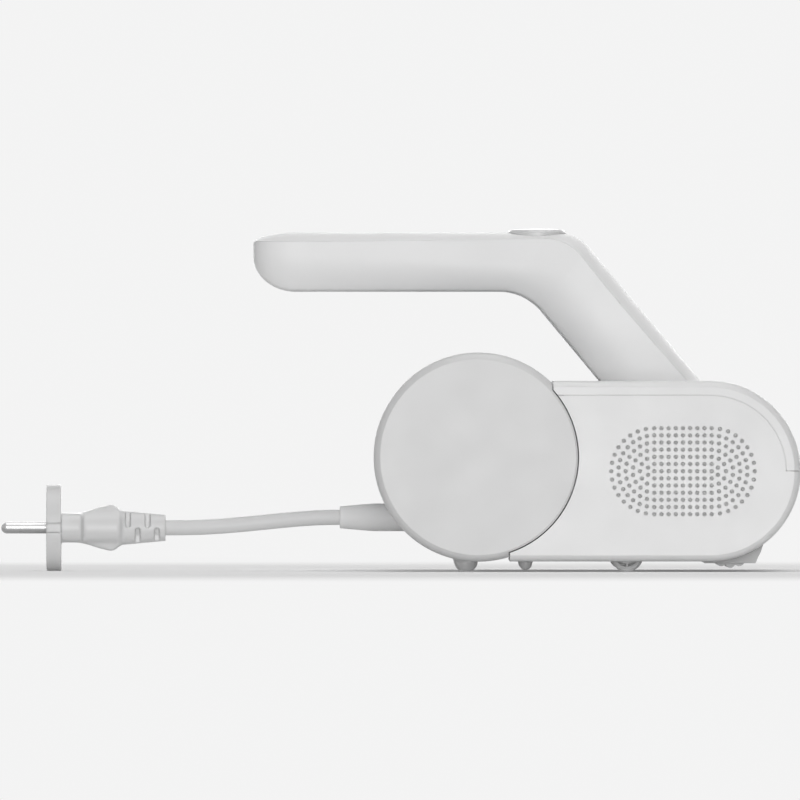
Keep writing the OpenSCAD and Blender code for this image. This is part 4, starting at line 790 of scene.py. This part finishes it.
def seam_strip(name, lines, side):
    """Strips along lines of (x, z) in millimetres, just below the surface of one side."""
    form = bmesh.new()
    for line in lines:
        rings = []
        for k, (x, z) in enumerate(line):
            (ax, az), (bx, bz) = line[max(0, k - 1)], line[min(len(line) - 1, k + 1)]
            length = math.hypot(bx - ax, bz - az)
            nx, nz = -(bz - az) / length * TONGUE_HALF, (bx - ax) / length * TONGUE_HALF
            corners = [(x + nx, TONGUE_FACE, z + nz), (x - nx, TONGUE_FACE, z - nz),
                       (x - nx, TONGUE_BACK, z - nz), (x + nx, TONGUE_BACK, z + nz)]
            rings.append([form.verts.new((px * MM, side * py * MM, pz * MM)) for px, py, pz in corners])
        for a, b in zip(rings, rings[1:]):
            for k in range(4):
                form.faces.new((a[k], a[(k + 1) % 4], b[(k + 1) % 4], b[k]))
        form.faces.new(rings[0][::-1])
        form.faces.new(rings[-1])
    piece = piece_from(form, name, shell_white)
    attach(piece, "housing")


for side_name, side in (("right", -1), ("left", 1)):
    seam_strip("seam_tongue_" + side_name, [seam_line, step_line], side)

# %% [markdown]
# ## The handle
# The grip and its post are one swept form, flat under its crowned top cover and bent where the grip turns
# down into the post. Its sides bow in and end in small rounded edges, and its underside is slightly full.
# It is lofted: a ring of points is worked out at each station along the handle, and neighbouring rings are
# joined by faces. Many stations make its bends flow, and smooth shading does the rest.

# %% Stations along the handle
TIP_X, GRIP_TOP, GRIP_UNDER, BODY_TOP = -114.8, 142.6, 117.6, 80.0
POST_REAR, POST_FRONT, SLOPE = 30.8, 73.6, math.radians(50.2)
GRIP_W, FOOT_W = 34.0, 42.0
UNDER_BEND, TOP_BEND = 23.0, 18.0
UNDER_TIP, TOP_TIP = (14.9, 18.0), (-4.6, 17.0)
GRIP_CROWN, POST_CROWN, TIP_CROWN = 3.9, 5.8, 1.0
TIP_STEPS, GRIP_STEPS, BEND_STEPS, POST_STEPS = 24, 8, 24, 10
BEND_AT = TIP_STEPS + GRIP_STEPS


def handle_edge(level, foot_x, bend, tip):
    """Points (x, z) along one edge of the handle: its rounded tip, the grip, the bend and the post."""
    rise, run = tip
    corner = foot_x - (level - BODY_TOP) / math.tan(SLOPE)
    reach = bend * math.tan(SLOPE / 2)
    points = []
    for i in range(TIP_STEPS + 1):
        a = math.pi / 2 * i / TIP_STEPS
        points.append((TIP_X + run * (1 - math.cos(a)), level + rise * (1 - math.sin(a))))
    start, end = TIP_X + run, corner - reach
    points += [(start + (end - start) * i / GRIP_STEPS, level) for i in range(1, GRIP_STEPS + 1)]
    for i in range(1, BEND_STEPS + 1):
        a = math.pi / 2 - SLOPE * i / BEND_STEPS
        points.append((end + bend * math.cos(a), level - bend + bend * math.sin(a)))
    x, z = corner + reach * math.cos(SLOPE), level - reach * math.sin(SLOPE)
    points += [(x + (foot_x - x) * i / POST_STEPS, z + (BODY_TOP - z) * i / POST_STEPS)
               for i in range(1, POST_STEPS + 1)]
    return points


under = handle_edge(GRIP_UNDER, POST_REAR, UNDER_BEND, UNDER_TIP)
top = handle_edge(GRIP_TOP, POST_FRONT, TOP_BEND, TOP_TIP)
STATIONS = len(under)


def down_post(i):
    """How far a station is from the start of the bend, 0, to the foot of the post, 1."""
    return max(0, i - BEND_AT) / (STATIONS - 1 - BEND_AT)


def width_at(i):
    """The handle's width at a station."""
    if i < TIP_STEPS:
        return GRIP_W * (0.2 + 0.8 * math.sin(math.pi / 2 * i / TIP_STEPS) ** 0.7)
    return GRIP_W + (FOOT_W - GRIP_W) * down_post(i)


def crown_at(i):
    """How much of the handle's height at a station is the cover's crown."""
    if i < TIP_STEPS:
        return max(TIP_CROWN, GRIP_CROWN + top[i][1] - GRIP_TOP)
    return GRIP_CROWN + (POST_CROWN - GRIP_CROWN) * down_post(i)


CREASE = 38


def loft(name, rings, material):
    """Joins rings of points, each (x, y, z) in millimetres, to a closed mesh."""
    form = bmesh.new()
    made = [[form.verts.new((x * MM, y * MM, z * MM)) for x, y, z in ring] for ring in rings]
    count = len(made[0])
    for a, b in zip(made, made[1:]):
        for k in range(count):
            form.faces.new((a[k], a[(k + 1) % count], b[(k + 1) % count], b[k]))
    form.faces.new(made[0][::-1])
    form.faces.new(made[-1])
    return piece_from(form, name, material, sharp=CREASE)


def on_station(i, y, d):
    """The point of a station at width y and height d over the underside's line."""
    (px, pz), (qx, qz) = under[i], top[i]
    length = math.dist(under[i], top[i])
    return (px + (qx - px) / length * d, y, pz + (qz - pz) / length * d)


SIDE_TURN, EDGE_TURN = math.radians(38), math.radians(84)
EDGE_R, BELLY = 2.2, 0.6
BOW_START, BOW_START_POST = 15.5, 20.2
LID_INSET, LID_GAP, LID_EDGE = 0.05, 0.06, 0.15


def shell_ring(i):
    """The shell's section: sides that bow in, rounded lower edges and a slightly full underside."""
    w, rise = width_at(i) / 2, math.dist(under[i], top[i]) - crown_at(i)
    edge, belly = min(EDGE_R, rise * 0.14, w * 0.2), min(BELLY, rise * 0.04, w * 0.04)
    low_d = belly + edge * (1 - math.sin(SIDE_TURN))
    start_d = min(rise * 0.8, BOW_START + (BOW_START_POST - BOW_START) * down_post(i))
    bow = (start_d - low_d) / math.sin(SIDE_TURN)
    side = [(w - bow * (1 - math.cos(SIDE_TURN * k / 10)), start_d - bow * math.sin(SIDE_TURN * k / 10))
            for k in range(11)]
    middle = side[-1][0] - edge * math.cos(SIDE_TURN)
    for k in range(1, 6):
        a = SIDE_TURN + (EDGE_TURN - SIDE_TURN) * k / 5
        side.append((middle + edge * math.cos(a), belly + edge * (1 - math.sin(a))))
    half, low = side[-1]
    below = [(half * k / 4, low * (k / 4) ** 2) for k in range(-3, 4)]
    left = [on_station(i, -w, rise)] + [on_station(i, -y, d) for y, d in side]
    right = [on_station(i, y, d) for y, d in reversed(side)] + [on_station(i, w, rise)]
    return left + [on_station(i, y, d) for y, d in below] + right


def cover_ring(i):
    """The cover's section: flat below, with a crown above."""
    w, low_d = width_at(i) / 2 - LID_INSET, math.dist(under[i], top[i]) - crown_at(i) + LID_GAP
    crown = crown_at(i) - LID_GAP - LID_EDGE
    arch = [on_station(i, -w * math.cos(a), low_d + LID_EDGE + crown * math.sin(a) ** 2)
            for a in (math.radians(180 * k / 28) for k in range(1, 28))]
    return [on_station(i, -w, low_d)] + arch + [on_station(i, w, low_d)]


handle_body = loft("handle_body", [shell_ring(i) for i in range(STATIONS)], handle_white)
handle_lid = loft("handle_lid", [cover_ring(i) for i in range(STATIONS)], handle_white)
print("handle stations:", STATIONS)

# %% [markdown]
# The power button sits in a round hole in the handle's cover. A Boolean modifier cuts it with a cylinder,
# and the result is kept as a plain mesh.

# %% Cut the button's hole and fit both pieces
BUTTON_GAP = 0.0003
UNDER_LID, POCKET_FLOOR, OVER_LID = 0.120, 0.1295, 0.160


def cut_round(piece, x, z0, z1, radius):
    """Cuts a round hole along Z out of a piece, for good."""
    tool_mesh = bpy.data.meshes.new("cutter")
    form = bmesh.new()
    bmesh.ops.create_cone(form, cap_ends=True, segments=96, radius1=radius, radius2=radius, depth=z1 - z0,
                          matrix=Matrix.Translation((x, 0, (z0 + z1) / 2)))
    form.to_mesh(tool_mesh)
    form.free()
    tool = bpy.data.objects.new("cutter", tool_mesh)
    collection.objects.link(tool)
    modifier = piece.modifiers.new("hole", "BOOLEAN")
    modifier.object = tool
    modifier.operation = "DIFFERENCE"
    cut = as_shown(piece)
    piece.modifiers.clear()
    piece.data = cut
    cut.set_sharp_from_angle(angle=math.radians(CREASE))
    bpy.data.objects.remove(tool)


low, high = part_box("power_button")
button_x, button_r = (low.x + high.x) / 2, (high.x - low.x) / 2
cut_round(handle_lid, button_x, UNDER_LID, OVER_LID, button_r + BUTTON_GAP)
cut_round(handle_body, button_x, POCKET_FLOOR, OVER_LID, button_r + BUTTON_GAP)
for piece, node in ((handle_body, "handle_shell"), (handle_lid, "handle_cover")):
    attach(piece, "housing")
    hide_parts(node)

# %% [markdown]
# ## Floor, light and air
# The machine stands on a plain pale floor, without a visible horizon: near the machine the floor is a real
# surface that takes its shadow, and farther out it fades to the same pale tone as the air behind it. That
# tone is only for the camera and for reflections, so it adds no light. They also see the near floor lifted
# a little, and light that bounces off it finds it darker. From below the floor is clear, as a glass table
# is. The light itself is plain: a weak even sky, three wide lamps in front (one level, one that shines up
# through the table and one high), one overhead, and three from behind for the far side.

# %% The floor
PALE = 0.90
FLOOR_R = 12.0
FADE_START, FADE_END = 0.3, 0.9
FLOOR_LIFT, FLOOR_BOUNCE = 0.16, 0.78
floor_mesh = bpy.data.meshes.new("floor")
floor_form = bmesh.new()
bmesh.ops.create_circle(floor_form, cap_ends=True, segments=96, radius=FLOOR_R)
floor_form.to_mesh(floor_mesh)
floor_form.free()
floor = bpy.data.objects.new("floor", floor_mesh)
collection.objects.link(floor)
floor_material, floor_tree, floor_shader, floor_place = new_material("pale_floor")
floor_shade = two_colours(floor_tree, noise(floor_tree, floor_place, 3, 2).outputs[0],
                          (0.84, 0.84, 0.84), (0.86, 0.86, 0.86))
floor_tree.links.new(floor_shade.outputs[0], floor_shader.inputs["Base Color"])
floor_shader.inputs["Roughness"].default_value = 0.95
floor_shader.inputs["Specular IOR Level"].default_value = 0.0


def seen_only(tree):
    """1 for rays of the camera, of mirrors and of glass, 0 for rays that carry light."""
    path = tree.nodes.new("ShaderNodeLightPath")
    mirror = maths(tree, "MAXIMUM", path.outputs["Is Camera Ray"], path.outputs["Is Glossy Ray"])
    return maths(tree, "MAXIMUM", mirror, path.outputs["Is Transmission Ray"])


distance = add(floor_tree, "ShaderNodeVectorMath", {0: floor_place.outputs["Object"]}, operation="LENGTH")
fade = add(floor_tree, "ShaderNodeMapRange", {"Value": distance.outputs["Value"]},
           {"From Min": FADE_START, "From Max": FADE_END}, interpolation_type="SMOOTHSTEP")
lift = add(floor_tree, "ShaderNodeEmission",
           {"Strength": maths(floor_tree, "MULTIPLY", seen_only(floor_tree), FLOOR_LIFT)})
lit = add(floor_tree, "ShaderNodeAddShader", {0: floor_shader.outputs[0], 1: lift.outputs[0]})
dim = add(floor_tree, "ShaderNodeBsdfDiffuse", values={"Color": (FLOOR_BOUNCE,) * 3 + (1,)})
near = add(floor_tree, "ShaderNodeMixShader",
           {0: seen_only(floor_tree), 1: dim.outputs[0], 2: lit.outputs[0]})
flat = add(floor_tree, "ShaderNodeEmission", values={"Color": (PALE, PALE, PALE, 1), "Strength": 1.0})
share = maths(floor_tree, "MULTIPLY", fade.outputs[0], seen_only(floor_tree))
mixed = add(floor_tree, "ShaderNodeMixShader", {0: share, 1: near.outputs[0], 2: flat.outputs[0]})
side = floor_tree.nodes.new("ShaderNodeNewGeometry")
glass_side = floor_tree.nodes.new("ShaderNodeBsdfTransparent")
from_below = add(floor_tree, "ShaderNodeMixShader",
                 {0: side.outputs["Backfacing"], 1: mixed.outputs[0], 2: glass_side.outputs[0]})
floor_output = next(node for node in floor_tree.nodes if node.type == "OUTPUT_MATERIAL")
floor_tree.links.new(from_below.outputs[0], floor_output.inputs[0])
floor_mesh.materials.append(floor_material)
floor.visible_shadow = False

# %% Lamps and sky
MIDDLE = Vector((-0.02, 0, 0.06))


def soft_lamp(name, place, size, power, shine):
    """A wide lamp that faces the machine's middle; without shine its own picture stays out of reflections."""
    data = bpy.data.lights.new(name, "AREA")
    data.shape = "RECTANGLE"
    data.size, data.size_y = size
    data.energy = power
    lamp = bpy.data.objects.new(name, data)
    lamp.location = place
    lamp.rotation_euler = (MIDDLE - Vector(place)).to_track_quat("-Z", "Y").to_euler()
    lamp.visible_camera = False
    lamp.visible_glossy = shine
    collection.objects.link(lamp)


LAMPS = [
    # name, place, width and height, watts, whether reflections show it
    ("front", (0.0, -4.2, 0.25), (1.9, 1.1), 57, True),
    ("front_low", (0.0, -4.0, -0.8), (1.9, 0.8), 20, True),
    ("front_high", (0.0, -3.7, 2.2), (2.6, 1.1), 21, True),
    ("top", (0.1, 0.0, 1.6), (1.4, 1.2), 12, True),
    ("behind", (0.0, 2.8, 0.5), (2.6, 1.6), 35, True),
    ("behind_left", (-2.0, 1.6, 0.5), (1.0, 1.0), 7, False),
    ("behind_right", (2.0, 1.6, 0.5), (1.0, 1.0), 7, False),
]
for name, place, lamp_size, power, shine in LAMPS:
    soft_lamp(name, place, lamp_size, power, shine)

world = bpy.data.worlds.new("studio")
bpy.context.scene.world = world
world.use_nodes = True
sky = world.node_tree
sky.nodes.clear()
look = sky.nodes.new("ShaderNodeTexCoord")
height = add(sky, "ShaderNodeSeparateXYZ", {"Vector": look.outputs["Generated"]})
overhead = maths(sky, "MULTIPLY", height.outputs[2], height.outputs[2])
zenith = maths(sky, "MULTIPLY_ADD", overhead, 0.05, 0.05)
ambient = add(sky, "ShaderNodeBackground", {"Strength": zenith}, {"Color": (1, 1, 1, 1)})
pale = add(sky, "ShaderNodeBackground", values={"Color": (PALE, PALE, PALE, 1), "Strength": 1.0})
chosen = add(sky, "ShaderNodeMixShader", {0: seen_only(sky), 1: ambient.outputs[0], 2: pale.outputs[0]})
add(sky, "ShaderNodeOutputWorld", {"Surface": chosen.outputs[0]})
bpy.context.scene.view_settings.view_transform = "Standard"
